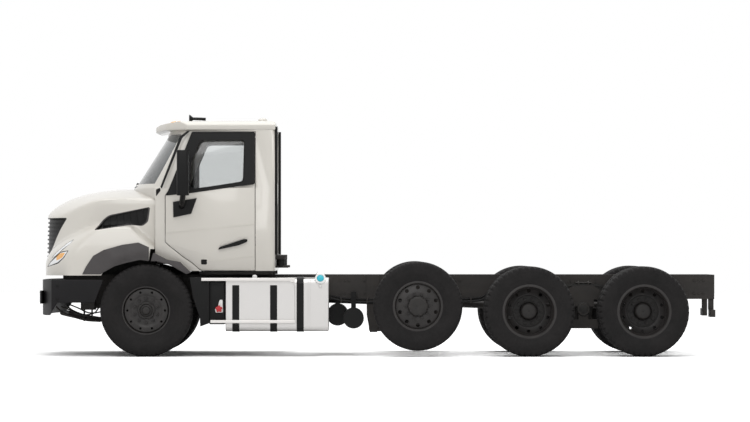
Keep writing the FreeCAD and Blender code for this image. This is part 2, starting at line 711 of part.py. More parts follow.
def steering_wheel():
    """Rim on one broad spoke with a hub, on a round column that turns in the dash."""
    a = math.radians(wheel_tilt)
    axis = V(-math.cos(a), 0, math.sin(a))
    centre = V(*column_point(150))
    ring = Part.makeTorus(225, 17, centre, axis)
    column = rod(column_point(-60), column_point(100), column_radius)
    hub = rod(column_point(38), column_point(165), 34)
    across = Part.makeBox(30, 420, 14, V(-15, -210, -7))
    across.rotate(V(0, 0, 0), V(0, 1, 0), -90 + wheel_tilt)
    across.translate(centre)
    return fuse([ring, column, hub, across])


def seats():
    """Two seats on their boxes."""
    floor = cab_floor + floor_thick
    made = []
    for y in (480.0, -480.0):
        made.append(fuse([box(1580, 2000, y - 190, y + 190, floor, 1330),
                          box(1500, 2060, y - 250, y + 250, 1330, 1470),
                          prism_y([(1500, 1470), (1640, 1470), (1560, 2150), (1440, 2150)],
                                  y - 250, y + 250)]))
    return made


guard_out = 1160.0


def rear_arches():
    """Rear half of the left wheel arch on the cab's lower front."""
    lip = [(2769, 1157), (2700, 1157), (2543, 1118), (2336, 1000)]
    return prism_y(arch_line + lip, 1000, 1200)


def mud_guard():
    """Guard behind the left front tyre, on the face of the box behind it."""
    sheet = prism_y([(box_front, 406), (2169, 365), (2172, 479), (2183, 697), (2240, 963), (box_front, 963)],
                    860, guard_out)
    lip = prism_y([(2150, 380), (2169, 365), (2175, 479), (2252, 697), (2300, 963), (2200, 963)],
                  guard_out - 30, guard_out)
    return sheet.fuse(lip).removeSplitter()


# ---------------------------------------------------------------- hood
def nose_solid(inset):
    side = [(2340, hood_bottom - 1), (4112 - inset, hood_bottom - 1), (4118 - inset, 1470),
            (4122 - inset, 1690 - inset), (4091 - inset, 1753 - inset), (4005 - inset, 1832 - inset),
            (3847, 1918 - inset), (3647, 1984 - inset), (3417, 2027 - inset), (3187, 2043 - inset),
            (2340, 2046 - inset)]
    plan = [(2340, 0), (2340, 975 - inset), (2740, 960 - inset), (3400, 900 - inset), (3800, 800 - inset),
            (3980, 640 - inset), (4080 - inset, 420 - inset * 0.5), (4115 - inset, 220), (4122 - inset, 0)]
    plan = plan + [(x, -y) for x, y in plan[::-1][1:-1]]
    section = [(-975, 900), (-975, 1760), (-900, 1920), (-780, 1985), (-560, 2022), (0, 2050),
               (560, 2022), (780, 1985), (900, 1920), (975, 1760), (975, 900)]
    section = [(y * (975 - inset) / 975, z - inset) for y, z in section]
    whole = prism_y(side, -1000, 1000).common(prism_z(plan, 900, 2200))
    return whole.common(prism_x(section, 2300, 4200))


def fender_solid(inset):
    """Left fender over the wheel, out to the headlamp."""
    side = [(2600, hood_bottom - 1), (4050 - inset, hood_bottom - 1), (4040 - inset, 1120),
            (3960 - inset, 1300 - inset), (3810 - inset, 1449 - inset), (3596, 1509 - inset),
            (3358, 1556 - inset), (3024, 1573 - inset), (2850, 1470 - inset), (2600, 1300 - inset)]
    plan = [(2600, 700), (2600, 1165 - inset), (3300, 1190 - inset), (3600, 1170 - inset),
            (3850 - inset, 1080 - inset), (4000 - inset, 900 - inset), (4085 - inset, 620 - inset),
            (4100 - inset, 450), (3900, 400)]
    return prism_y(side, 0, 1300).common(prism_z(plan, 900, 1700))


flare_outline = [(2790, 1160), (2790, 1328), (2920, 1385), (3116, 1357), (3341, 1294), (3467, 1223),
                 (3551, 1097), (3599, 1000), (3370, 1000), (3341, 1025), (3201, 1100), (3060, 1140),
                 (2900, 1175)]
hood_wall = 26.0
seam_x = cab_front + panel_gap


def hood_shell():
    def solid(inset):
        fender = fender_solid(inset)
        return nose_solid(inset).fuse(fender).fuse(mirrored(fender))
    shell = solid(0).cut(solid(hood_wall))
    shell = shell.cut(box(2000, 4200, -1300, 1300, 800, hood_bottom))
    shell = shell.cut(box(2000, seam_x, -1300, 1300, 800, 2200))
    shell = shell.cut(Part.Face(plan_face(800, half_belt, half_belt - 45, cowl_side, cowl_nose,
                                          -panel_gap)).extrude(V(0, 0, 1400)))
    arch = prism_y([(2600, 900), (2600, 1306), (seam_x + 46, 1306), (seam_x + 60, 1170), (2900, 1180),
                    (3060, 1150), (3201, 1110), (3341, 1035), (3380, 1000), (3380, 900)], -1300, 1300)
    return shell.cut(arch)


grille_outline = [(-455, 1030), (-700, 1660), (700, 1660), (455, 1030)]
lamp_outline = [(730, 1080), (1010, 1240), (1010, 1420), (860, 1330), (730, 1180)]
vent_outline = [(2788, 1821), (2809, 1614), (2894, 1590), (3021, 1600), (3440, 1545), (3360, 1672),
                (3289, 1721)]


def hood_pieces():
    """Hood shell with its grille, headlamps, side vents and arch flares let into it."""
    shell = hood_shell()
    cutters = {"grille": prism_x(grille_outline, 3700, 4200)}
    lamp = prism_x(lamp_outline, 3750, 4200)
    vent = prism_y(vent_outline, 700, 1300)
    flare = prism_y(flare_outline, 1130, 1212)
    cutters["headlamps"] = Part.makeCompound(both(lamp))
    cutters["hood_vents"] = Part.makeCompound(both(vent))
    pieces = {}
    for name, cutter in cutters.items():
        pieces[name] = [solid for solid in shell.common(cutter).Solids if solid.Volume > 1000]
        shell = shell.cut(cutter)
    flares = both(flare)
    shell = shell.cut(Part.makeCompound(flares))
    pieces["hood_flares"] = flares
    pieces["hood"] = [fuse([max(shell.Solids, key=lambda solid: solid.Volume)] + hood_arms())]
    return pieces


arm_y0, arm_y1 = 230.0, 270.0


def hood_arms():
    """Gooseneck arms from the hinge tube, back round the bumper's edge and up to the nose."""
    x, z = hinge_x, hinge_z
    outline = [(x - 26, z - 26), (x + 26, z - 26), (x + 26, z + 16), (x - 140, z + 98),
               (x - 140, z + 152), (x + 60, z + 152), (x + 60, z + 190), (x - 178, z + 190),
               (x - 178, z + 70)]
    arm = prism_y(outline, arm_y0, arm_y1)
    bore = rod((x, arm_y0 - 1, z), (x, arm_y1 + 1, z), hinge_pin + running)
    return both(arm.cut(bore))


def main():
    os.makedirs(OUT, exist_ok=True)
    save("frame_rails", both(frame_rail()))
    save("crossmembers", crossmembers())
    save("front_bumper", bumper())
    save("front_axle_beam", front_beam())
    save("front_springs", both(front_spring()))
    save("drive_axles", [drive_housing(x) for x in drive_x])
    save("tandem_suspension", tandem_suspension())
    save("pusher_axle_beam", pusher_beam())
    save("pusher_suspension", pusher_suspension())
    save("engine", engine())
    save("driveshafts", driveshafts())
    save("fuel_tank", fuel_tank())
    save("tank_straps", tank_straps())
    save("tank_steps", steps())
    save("battery_box", battery_box())
    save("exhaust_box", side_box())
    save("air_tanks", air_tanks())
    save("tail_lamps", tail_lamps())

    left = knuckle()
    save("knuckle_left", left)
    save("knuckle_right", mirrored(left))
    save("track_rod", track_rod())
    wheels = {
        "front": (tyre(steer_radius, steer_width, steer_bead, steer_centre_y, steer_x, steer_radius),
                  steer_wheel(steer_x, steer_radius)),
        "pusher": (tyre(pusher_radius, pusher_width, steer_bead, pusher_centre_y, pusher_x, pusher_z),
                   pusher_wheel(pusher_x, pusher_z)),
    }
    for k, x in enumerate(drive_x):
        pair = [tyre(drive_radius, drive_width, drive_bead, y, x, drive_radius)
                for y in (drive_outer_y, drive_inner_y)]
        wheels["drive%d" % (k + 1)] = (Part.makeCompound(pair), twin_wheel(x, drive_radius))
    for name, (rubber, metal) in wheels.items():
        save("tyre_%s_left" % name, rubber)
        save("wheel_%s_left" % name, metal)
        save("tyre_%s_right" % name, mirrored(rubber))
        save("wheel_%s_right" % name, mirrored(metal))

    outer, room = cab_volumes()
    save("cab_shell", cab(outer, room))
    save("windscreen", windscreen())
    save("rear_window", rear_window())
    save("roof", roof())
    for name, shape in (("door", door(outer, room)), ("door_glass", door_glass()), ("mirror", mirror())):
        save(name + "_left", shape)
        save(name + "_right", mirrored(shape))
    save("dashboard", dashboard())
    save("steering_wheel", steering_wheel())
    save("seats", seats())
    save("wheel_arches", both(rear_arches()))
    save("mud_guards", both(mud_guard()))
    for name, shapes in hood_pieces().items():
        save(name, shapes)


main()
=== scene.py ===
import bmesh
import bpy
import numpy as np
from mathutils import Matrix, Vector


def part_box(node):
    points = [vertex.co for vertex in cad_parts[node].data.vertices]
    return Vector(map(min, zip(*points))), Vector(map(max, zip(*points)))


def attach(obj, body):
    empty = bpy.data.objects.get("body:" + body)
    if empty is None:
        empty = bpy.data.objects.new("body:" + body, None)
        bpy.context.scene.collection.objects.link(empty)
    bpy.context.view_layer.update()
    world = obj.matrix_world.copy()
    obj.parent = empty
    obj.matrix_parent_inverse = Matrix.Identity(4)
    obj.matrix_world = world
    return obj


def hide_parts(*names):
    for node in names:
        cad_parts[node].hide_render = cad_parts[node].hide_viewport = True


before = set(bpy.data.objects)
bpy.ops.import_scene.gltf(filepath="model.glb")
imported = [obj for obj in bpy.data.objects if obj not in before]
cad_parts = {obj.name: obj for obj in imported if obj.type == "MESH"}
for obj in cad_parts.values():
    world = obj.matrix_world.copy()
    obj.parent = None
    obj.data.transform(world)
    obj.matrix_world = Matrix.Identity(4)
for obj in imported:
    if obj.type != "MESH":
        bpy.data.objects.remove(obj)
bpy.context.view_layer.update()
pi = np.pi


def toLinear(hexCode):
    # sRGB to linear: each channel c becomes ((c + 0.055) / 1.055) ^ 2.4, or c / 12.92 when dark
    c = np.array([int(hexCode[i:i + 2], 16) for i in (1, 3, 5)]) / 255
    return (*np.where(c > 0.04045, ((c + 0.055) / 1.055) ** 2.4, c / 12.92), 1.0)


def addNode(tree, kind, settings=None, links=None):
    # settings are attributes or input values, links map an input to another node's output
    node = tree.nodes.new(kind)
    for key, value in (settings or {}).items():
        if hasattr(node, key):
            setattr(node, key, value)
        else:
            node.inputs[key].default_value = value
    for key, source in (links or {}).items():
        tree.links.new(source, node.inputs[key])
    return node


def newMaterial(name, colour, roughness, metallic=0.0, **shader):
    # Principled material with its plain sockets set; an underscore stands for a space in a socket's name
    mat = bpy.data.materials.new(name)
    mat.use_nodes = True
    tree = mat.node_tree
    bsdf = tree.nodes["Principled BSDF"]
    bsdf.inputs["Base Color"].default_value = toLinear(colour)
    bsdf.inputs["Roughness"].default_value = roughness
    bsdf.inputs["Metallic"].default_value = metallic
    for key, value in shader.items():
        bsdf.inputs[key.replace("_", " ")].default_value = value
    return mat, tree, bsdf


def noiseOver(tree, scale, detail=3.0, stretch=(1, 1, 1)):
    # noise on object coordinates: scale is in cycles per metre
    coord = addNode(tree, "ShaderNodeTexCoord")
    mapping = addNode(tree, "ShaderNodeMapping", {"Scale": stretch}, {"Vector": coord.outputs["Object"]})
    noise = addNode(tree, "ShaderNodeTexNoise", {"Scale": scale, "Detail": detail},
                    {"Vector": mapping.outputs["Vector"]})
    return noise.outputs["Fac"]


def finish(name, colour, roughness, metallic=0.0, tones=None, dull=None, bump=None, **shader):
    # tones: a noise, two colours and the stops between which it runs from one to the other
    # dull: a noise and the roughness it runs between; bump: a noise, its depth in metres and a strength
    # a noise is (cycles per metre, detail, stretch)
    mat, tree, bsdf = newMaterial(name, colour, roughness, metallic, **shader)
    if tones:
        noise, low, high, stops = tones
        ramp = addNode(tree, "ShaderNodeValToRGB", links={"Fac": noiseOver(tree, *noise)})
        for element, stop, tone in zip(ramp.color_ramp.elements, stops, (low, high)):
            element.position, element.color = stop, toLinear(tone)
        tree.links.new(ramp.outputs["Color"], bsdf.inputs["Base Color"])
    if dull:
        noise, low, high = dull
        spread = addNode(tree, "ShaderNodeMapRange", {"To Min": low, "To Max": high},
                         {"Value": noiseOver(tree, *noise)})
        tree.links.new(spread.outputs["Result"], bsdf.inputs["Roughness"])
    if bump:
        noise, depth, strength = bump
        relief = addNode(tree, "ShaderNodeBump", {"Distance": depth, "Strength": strength},
                         {"Height": noiseOver(tree, *noise)})
        tree.links.new(relief.outputs["Normal"], bsdf.inputs["Normal"])
    return mat


even = (0.35, 0.65)        # stops that blend two tones evenly

# two-coat pearl enamel, sprayed and baked: clear coat over a warm pale base, orange peel of 4 to 5 mm
enamel = finish("bakedEnamel", "#cdc9c1", 0.34, tones=((0.9, 2), "#cac6be", "#d0ccc4", (0.3, 0.7)),
                bump=((220, 2), 0.00012, 0.35), Coat_Weight=0.7, Coat_Roughness=0.06)

# sprayed chassis enamel on rolled steel: warm near-black, satin, with thin road film
chassis = finish("chassisPaint", "#292624", 0.55, tones=((3, 5, (1, 1, 2.5)), "#262321", "#2f2b28", even),
                 dull=((14, 4), 0.42, 0.62), bump=((300, 3), 0.0002, 0.3), Specular_IOR_Level=0.35)

# moulded bumper skin in satin charcoal, with a fine even grain of about 2 mm
bumperSkin = finish("bumperPaint", "#121113", 0.5, tones=((2, 3), "#111012", "#161516", even),
                    bump=((480, 2), 0.00018, 0.5), Specular_IOR_Level=0.22)

# injection moulded polypropylene: dull charcoal with a leather-like grain of about 3 mm
polypropylene = finish("grainedPolypropylene", "#434040", 0.62,
                       tones=((5, 4), "#403d3d", "#474444", even), bump=((340, 3), 0.0003, 0.6),
                       Specular_IOR_Level=0.35)

# moulded black ABS on mirrors, grille and window trim: low sheen, close grain
blackPlastic = finish("blackAbs", "#080808", 0.5, dull=((20, 3), 0.34, 0.5),
                      bump=((500, 2), 0.00015, 0.4), Specular_IOR_Level=0.22)

# cured carbon-black rubber: matt, slightly brown-grey with a dusty bloom
rubber = finish("tyreRubber", "#181717", 0.8, tones=((6, 5), "#151414", "#1f1d1d", (0.3, 0.75)),
                dull=((30, 3), 0.68, 0.88), bump=((260, 3), 0.0003, 0.5), Specular_IOR_Level=0.25)

# powder-coated steel disc wheel: charcoal, soft sheen, fine powder texture
wheelCoat = finish("wheelEnamel", "#262423", 0.45, tones=((9, 4), "#232120", "#2b2827", even),
                   dull=((40, 3), 0.38, 0.55), bump=((600, 2), 0.0001, 0.5), Specular_IOR_Level=0.4)

# sand-cast iron hub under black paint: rougher, with a grainy skin
hubIron = finish("castHub", "#1b1918", 0.55, tones=((25, 4), "#181615", "#221f1d", even),
                 bump=((180, 4), 0.0006, 0.6), Specular_IOR_Level=0.4)

# rolled and brushed aluminium sheet: bright, fine lines along the truck, 1 to 2 mm apart
aluminium = finish("brushedAluminium", "#d6d4d2", 0.36, 1.0, dull=((60, 2, (0.05, 1, 8)), 0.3, 0.44),
                   bump=((90, 2, (0.02, 1, 8)), 0.0001, 0.25))

# extruded aluminium tread bar: pale, a little dull
treadBar = finish("extrudedAluminium", "#e2dfdc", 0.42, 0.85, bump=((200, 2, (0.1, 1, 1)), 0.0002, 0.3))

# float glass: the windscreen's grey tint is painted shade standing in for the dark cab seen through it; the
# glass in the doors and behind is nearly clear
glass = finish("windscreenGlassPaintedShade", "#8c8f90", 0.02, IOR=1.52, Transmission_Weight=1.0)
sideGlass = finish("temperedGlass", "#e0e2e2", 0.02, IOR=1.52, Transmission_Weight=1.0)

# clear polycarbonate lens over a bright reflector
lens = finish("clearLens", "#e9ebec", 0.08, Coat_Weight=1.0, Coat_Roughness=0.03)

# woven polyester seat cloth: dark grey, soft sheen, 3 mm weave drawn coarse enough to show
cloth = finish("seatCloth", "#2b2b2e", 0.85, bump=((330, 2), 0.0008, 0.6), Sheen_Weight=0.3)

# painted iron castings of engine and axles: grey-black with rough cast skin
iron = finish("foundryPaint", "#201f1e", 0.6, tones=((12, 5), "#1b1a19", "#272624", even),
              bump=((140, 4), 0.0008, 0.5), Specular_IOR_Level=0.35)

# amber acrylic turn lamp lens
amber = finish("amberAcrylic", "#e8a64a", 0.12, bump=((90, 1), 0.0006, 0.4), Coat_Weight=1.0,
               Coat_Roughness=0.03)

# coloured moulded plastics with a faint sheen and a fine grain
whitePlastic, cyanPlastic, redPlastic = (
    finish(name, colour, 0.4, dull=((30, 3), 0.34, 0.48), bump=((420, 2), 0.0001, 0.4))
    for name, colour in (("whiteNylon", "#e9e8e6"), ("turquoisePolythene", "#35b5c8"),
                         ("redNylon", "#b3262a")))

finishOf = {name: mat for mat, names in (
    (enamel, "cab_shell roof hood door_left door_right"), (bumperSkin, "front_bumper"),
    (polypropylene, "hood_flares wheel_arches mud_guards dashboard"),
    (blackPlastic, "grille hood_vents steering_wheel battery_box mirror_left mirror_right "
                   "tank_straps air_tanks"),
    (glass, "windscreen"), (sideGlass, "rear_window door_glass_left door_glass_right"),
    (lens, "headlamps tail_lamps"), (cloth, "seats"), (aluminium, "fuel_tank exhaust_box"),
    (treadBar, "tank_steps"), (iron, "engine drive_axles")) for name in names.split()}
for name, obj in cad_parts.items():
    plain = rubber if name.startswith("tyre") else wheelCoat if name.startswith("wheel_") else chassis
    obj.data.materials.clear()
    obj.data.materials.append(finishOf.get(name, plain))
print("frame finished:", len(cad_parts), "nodes")


def rounded(points, radius, closed=True, steps=3):
    # A 2-D outline with each corner swapped for a short curve: a quadratic blend between two points
    # set back from the corner by radius, or by 0.45 of the shorter side
    p = np.array(points, float)
    out = []
    for i in range(len(p)):
        if not closed and i in (0, len(p) - 1):
            out.append(p[i])
            continue
        a, b, c = p[i - 1], p[i], p[(i + 1) % len(p)]
        back, on = np.linalg.norm(a - b), np.linalg.norm(c - b)
        r = min(radius, 0.45 * back, 0.45 * on)
        start, end = b + (a - b) / back * r, b + (c - b) / on * r
        t = np.linspace(0, 1, steps + 1)[:, None]
        out.extend((1 - t) ** 2 * start + 2 * t * (1 - t) * b + t ** 2 * end)
    return np.array(out)


def gridFaces(rows, columns, wrapRows, wrapColumns):
    # quads of a rows x columns grid of points, joined end to end where it wraps
    r = np.arange(rows if wrapRows else rows - 1)[:, None]
    c = np.arange(columns if wrapColumns else columns - 1)[None, :]
    r2, c2 = (r + 1) % rows, (c + 1) % columns
    quads = np.stack([r * columns + c, r * columns + c2, r2 * columns + c2, r2 * columns + c], -1)
    return quads.reshape(-1, 4)


def spun(profile, segments=96, warp=None):
    # A closed (y, radius) outline turned about Y: x = r sin a, z = r cos a. warp may change the radius
    # as a function of angle and y. Returns points and quads facing outwards
    p = np.array(profile, float)
    area = np.sum(p[:, 0] * np.roll(p[:, 1], -1) - np.roll(p[:, 0], -1) * p[:, 1])
    if area < 0:
        p = p[::-1]
    a = np.linspace(0, 2 * pi, segments, endpoint=False)[:, None]
    y, r = np.broadcast_to(p[:, 0], (segments, len(p))), np.broadcast_to(p[:, 1], (segments, len(p)))
    if warp is not None:
        r = warp(a, y, r)
    verts = np.stack([r * np.sin(a), y, r * np.cos(a)], -1).reshape(-1, 3)
    return verts, gridFaces(segments, len(p), True, True)


def studs(count, circle, size, y0, y1, sides=6, phase=0.0, taper=0.9):
    # count prisms of the given sides on a circle about Y, from y0 out to y1, their tips drawn in by taper
    k = np.arange(count)[:, None] * 2 * pi / count + phase
    s = np.arange(sides)[None, :] * 2 * pi / sides
    rings = []
    for y, scale in ((y0, 1.0), (y0 + 0.8 * (y1 - y0), 1.0), (y1, taper), (y1, 0.0)):
        x = circle * np.sin(k) + size * scale * np.cos(s)
        z = circle * np.cos(k) + size * scale * np.sin(s)
        rings.append(np.stack([x, np.full_like(x, y), z], -1))
    verts = np.stack(rings, 1)                                  # count, 4, sides, 3
    faces = gridFaces(4, sides, False, True)[:, ::-1]
    offset = (np.arange(count) * 4 * sides)[:, None, None]
    return verts.reshape(-1, 3), (faces[None] + offset).reshape(-1, 4)


def joined(parts):
    # several (points, faces, material index) as one list of points, faces and indices
    verts, faces, mats, start = [], [], [], 0
    for points, polygons, index in parts:
        verts.append(np.asarray(points, float))
        rows = np.asarray(polygons, dtype=object).tolist()
        faces += [[corner + start for corner in row] for row in rows]
        mats += [index] * len(polygons)
        start += len(points)
    return np.concatenate(verts), faces, mats


def place(name, parts, materials, body, replaced=(), offset=(0, 0, 0), flip=False, smooth=32):
    # makes one object from parts, moved by offset and mirrored across the truck if flip is set
    verts, faces, mats = joined(parts)
    verts = verts + np.array(offset)
    if flip:
        verts = verts * [1, -1, 1]
        faces = [face[::-1] for face in faces]
    mesh = bpy.data.meshes.new(name)
    mesh.from_pydata(verts.tolist(), [], faces)
    for mat in materials:
        mesh.materials.append(mat)
    mesh.polygons.foreach_set("material_index", np.array(mats, np.int32))
    mesh.update()
    mesh.shade_smooth()
    mesh.set_sharp_from_angle(angle=np.radians(smooth))
    obj = bpy.data.objects.new(name, mesh)
    bpy.context.collection.objects.link(obj)
    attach(obj, body)
    if replaced:
        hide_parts(*replaced)
    return obj


# Solids as (points, polygons), and boolean work on them.
def prism(outline, axis, low, high):
    # an outline in the plane of the other two axes, in x-y-z order, carried along axis
    flat = np.array(outline, float)
    ends = [np.insert(flat, axis, level, axis=1) for level in (low, high)]
    n = len(flat)
    i = np.arange(n)
    sides = np.stack([i, (i + 1) % n, (i + 1) % n + n, i + n], -1).tolist()
    area = np.sum(flat[:, 0] * np.roll(flat[:, 1], -1) - np.roll(flat[:, 0], -1) * flat[:, 1])
    ahead = (area > 0) != (axis == 1)
    if not ahead:
        sides = [side[::-1] for side in sides]
    floorFace, topFace = i.tolist(), (i + n).tolist()
    caps = [floorFace[::-1], topFace] if ahead else [floorFace, topFace[::-1]]
    return np.concatenate(ends), sides + caps


def mirroredSolid(solid):
    points, polygons = solid
    return np.asarray(points) * [1, -1, 1], [list(polygon)[::-1] for polygon in polygons]


def looseObject(solid):
    mesh = bpy.data.meshes.new("operand")
    mesh.from_pydata(np.asarray(solid[0]).tolist(), [], [list(polygon) for polygon in solid[1]])
    obj = bpy.data.objects.new("operand", mesh)
    bpy.context.collection.objects.link(obj)
    return obj


def carve(solid, steps):
    # steps is a list of ("DIFFERENCE", "INTERSECT" or "UNION", solid), applied in turn
    base = looseObject(solid)
    tools = []
    for operation, tool in steps:
        tools.append(looseObject(tool))
        step = base.modifiers.new("step", "BOOLEAN")
        step.operation, step.object, step.solver = operation, tools[-1], "EXACT"
    bpy.context.view_layer.update()
    made = bpy.data.meshes.new_from_object(base.evaluated_get(bpy.context.evaluated_depsgraph_get()))
    points = np.empty(len(made.vertices) * 3)
    made.vertices.foreach_get("co", points)
    polygons = [list(polygon.vertices) for polygon in made.polygons]
    for obj in [base] + tools:
        mesh = obj.data
        bpy.data.objects.remove(obj)
        bpy.data.meshes.remove(mesh)
    bpy.data.meshes.remove(made)
    return points.reshape(-1, 3), polygons


def cutRound(part, count, circle, size, phase=0.0):
    # drills round holes, on a circle about the axle, through one part
    points, faces, index = part
    sides, reach = 20, 0.6
    drill, quads = studs(count, circle, size, -reach, reach, sides, phase, 1.0)
    caps = [list(range(4 * sides * k, 4 * sides * k + sides)) for k in range(count)]
    return (*carve((points, faces), [("DIFFERENCE", (drill, quads.tolist() + caps))]), index)


def lathe(outline, radius, segments, index, out=0.0, warp=None, steps=3):
    # a rounded (distance out, radius) outline, moved out along the axle, as one turned part
    return (*spun(rounded(np.array(outline) + [out, 0], radius, steps=steps), segments, warp), index)


steerTyre = {"radius": 0.56, "width": 0.4, "bead": 0.29, "lugs": 58, "lugDepth": 0.011, "ribs": 5}
liftTyre = {"radius": 0.542, "width": 0.312, "bead": 0.29, "lugs": 62, "lugDepth": 0.007, "ribs": 4}
driveTyre = {"radius": 0.548, "width": 0.278, "bead": 0.311, "lugs": 48, "lugDepth": 0.016, "ribs": 3}


def tyreShape(spec, segments=384):
    # the sidewall is a bulged arc from bead to shoulder with fine rings on it; the tread is a flat crown
    # with straight grooves, and its shoulders step in and out once a lug around the tyre
    h, bead, top = spec["width"] / 2, spec["bead"], spec["radius"]
    t = np.linspace(0, 1, 15)
    r = bead + (top - 0.045 - bead) * t
    swell = np.sin(np.clip(t * 1.28, 0, 1) * pi / 2)
    bulge = h * (0.74 + 0.26 * swell - 0.035 * np.clip(t - 0.72, 0, 1) / 0.28)
    rings = sum(rise * (np.abs(t - at) < 0.04) for at,
                rise in ((0.12, 0.0022), (0.52, 0.0018), (0.9, 0.003)))
    side = np.stack([bulge + rings, r], -1)
    shoulder = np.array([[h * 0.955, top - 0.03], [h * 0.9, top - 0.013], [h * 0.8, top - 0.005]])
    grooves = np.linspace(-0.8, 0.8, spec["ribs"] + 1)[1:-1] * h
    crown = [[y + dy, top - deep] for y in grooves[::-1]
             for dy, deep in ((0.006, 0), (0.004, 0.014), (-0.004, 0.014), (-0.006, 0))]
    half = np.concatenate([side, shoulder])
    inner = np.array([[-h * 0.7, bead - 0.004], [-h * 0.5, bead + 0.02], [h * 0.5, bead + 0.02],
                      [h * 0.7, bead - 0.004]])
    outline = np.concatenate([half, crown, half[::-1] * [-1, 1], inner])

    def lugs(a, y, r):
        step = (np.sin(spec["lugs"] * a + np.sign(y) * 0.9) > 0.35).astype(float)
        onShoulder = (np.abs(y) > h * 0.55) & (r > top - 0.04)
        return r - spec["lugDepth"] * step * onShoulder

    return spun(outline, segments, lugs)


# A wheel's outlines are (distance out, radius); out is measured from the wheel's face, and the last
# number of a part is its material: 0 the wheel's coat, 1 the hub's iron.
def rimBarrel(bead, h):
    # rim barrel with rolled edges
    b = bead
    return lathe([(-h, b + 0.022), (-h, b - 0.004), (-h + 0.03, b - 0.01), (-h * 0.4, b - 0.028),
                  (h * 0.5, b - 0.028), (h - 0.03, b - 0.012), (h - 0.006, b - 0.004),
                  (h - 0.004, b + 0.02), (h + 0.006, b + 0.022), (h + 0.008, b - 0.01),
                  (h - 0.022, b - 0.02), (h * 0.5, b - 0.036), (-h * 0.4, b - 0.036),
                  (-h + 0.03, b - 0.018), (-h - 0.008, b - 0.01), (-h - 0.008, b + 0.022)], 0.004, 128, 0,
                 steps=2)


def frontWheelParts():
    # wide steer wheel: disc almost flush with the rim, ten small holes, ten nuts round a five-sided hub
    # ring, and a round cap
    face = 0.128
    disc = lathe([(-0.016, 0.266), (0, 0.262), (0.004, 0.205), (-0.008, 0.178), (-0.008, 0.06),
                  (-0.03, 0.06), (-0.03, 0.18), (-0.03, 0.262)], 0.006, 128, 0, face, steps=2)
    ring = lathe([(-0.02, 0.112), (0.012, 0.106), (0.014, 0.08), (-0.01, 0.074)], 0.004, 90, 1, face,
                 lambda a, y, r: r * (1 - 0.1 * (np.cos(5 * a + pi) > 0.55) * (r > 0.09)))
    cup = lathe([(-0.04, 0.082), (-0.002, 0.082), (0.006, 0.058), (0.01, 0.05), (0.03, 0.044),
                 (0.034, 0.02), (0.034, 0.0005), (-0.04, 0.0005)], 0.004, 48, 1, face)
    nuts = (*studs(10, 0.143, 0.019, face - 0.01, face + 0.018), 0)
    tips = (*studs(10, 0.143, 0.01, face + 0.01, face + 0.028, 10), 1)
    back = (*spun([(-0.1, 0.2), (face - 0.05, 0.2), (face - 0.05, 0.05), (-0.1, 0.05)], 48), 1)
    return [rimBarrel(0.29, 0.142), cutRound(disc, 10, 0.228, 0.0145, pi / 10), ring, cup, nuts, tips,
            back]


def liftWheelParts():
    # single wheel domed outwards: ten round holes on the slope, a raised flat hub, nuts round it
    face = 0.128
    disc = lathe([(-0.058, 0.276), (-0.046, 0.28), (-0.032, 0.268), (-0.004, 0.186), (0, 0.172), (0, 0.1),
                  (-0.014, 0.1), (-0.014, 0.17), (-0.02, 0.184)], 0.006, 128, 0, face, steps=2)
    hub = lathe([(-0.03, 0.128), (0.034, 0.124), (0.046, 0.112), (0.05, 0.09), (0.05, 0.0005),
                 (-0.03, 0.0005)], 0.006, 72, 1, face,
                lambda a, y, r: r * (1 - 0.05 * (np.cos(10 * a) > 0.2) * (r > 0.1)))
    seat = lathe([(-0.01, 0.176), (0.006, 0.176), (0.006, 0.12), (-0.01, 0.12)], 0.003, 72, 0, face)
    nuts = (*studs(10, 0.147, 0.019, face + 0.004, face + 0.032, 6, pi / 10), 0)
    tips = (*studs(10, 0.147, 0.011, face + 0.02, face + 0.046, 10, pi / 10), 1)
    return [rimBarrel(0.29, 0.115), cutRound(disc, 10, 0.229, 0.0245), hub, seat, nuts, tips]


def driveWheelParts():
    # twin wheel: two rims back to back, a deep dish with ten holes, a ring of nuts and a domed cap
    h, b, spread = 0.104, 0.311, 0.165
    barrel = np.array([(-0.1, b - 0.012), (-0.06, b - 0.024), (h * 0.5, b - 0.026), (h - 0.03, b - 0.012),
                       (h - 0.006, b - 0.004), (h - 0.004, b + 0.022), (h + 0.006, b + 0.024),
                       (h + 0.009, b - 0.01), (h - 0.022, b - 0.022), (h * 0.5, b - 0.034),
                       (-0.06, b - 0.034), (-0.1, b - 0.03)])
    rims = [lathe(barrel * [sign, 1], 0.004, 128, 0, sign * spread, steps=2) for sign in (1, -1)]
    disc = lathe([(0.002, 0.11), (0.016, 0.112), (0.016, 0.205), (0.034, 0.232), (0.06, 0.262),
                  (0.085, 0.28), (0.075, 0.286), (0.045, 0.268), (0.018, 0.236), (0.002, 0.212)], 0.005,
                 128, 0, steps=2)
    flange = lathe([(0.012, 0.196), (0.026, 0.194), (0.028, 0.11), (0.012, 0.108)], 0.004, 96, 1)
    cap = lathe([(0, 0.112), (0.085, 0.108), (0.1, 0.103), (0.118, 0.085), (0.124, 0.05), (0.126, 0.0005),
                 (0, 0.0005)], 0.01, 72, 1)
    nuts = (*studs(10, 0.15, 0.0195, 0.024, 0.052, 6, pi / 10), 0)
    tips = (*studs(10, 0.15, 0.011, 0.04, 0.07, 10, pi / 10), 1)
    drum = lathe([(-0.3, 0.205), (-0.03, 0.205), (-0.01, 0.15), (-0.01, 0.06), (-0.3, 0.06)], 0.008, 72,
                 1)
    return rims + [cutRound(disc, 10, 0.246, 0.022), flange, cap, nuts, tips, drum]


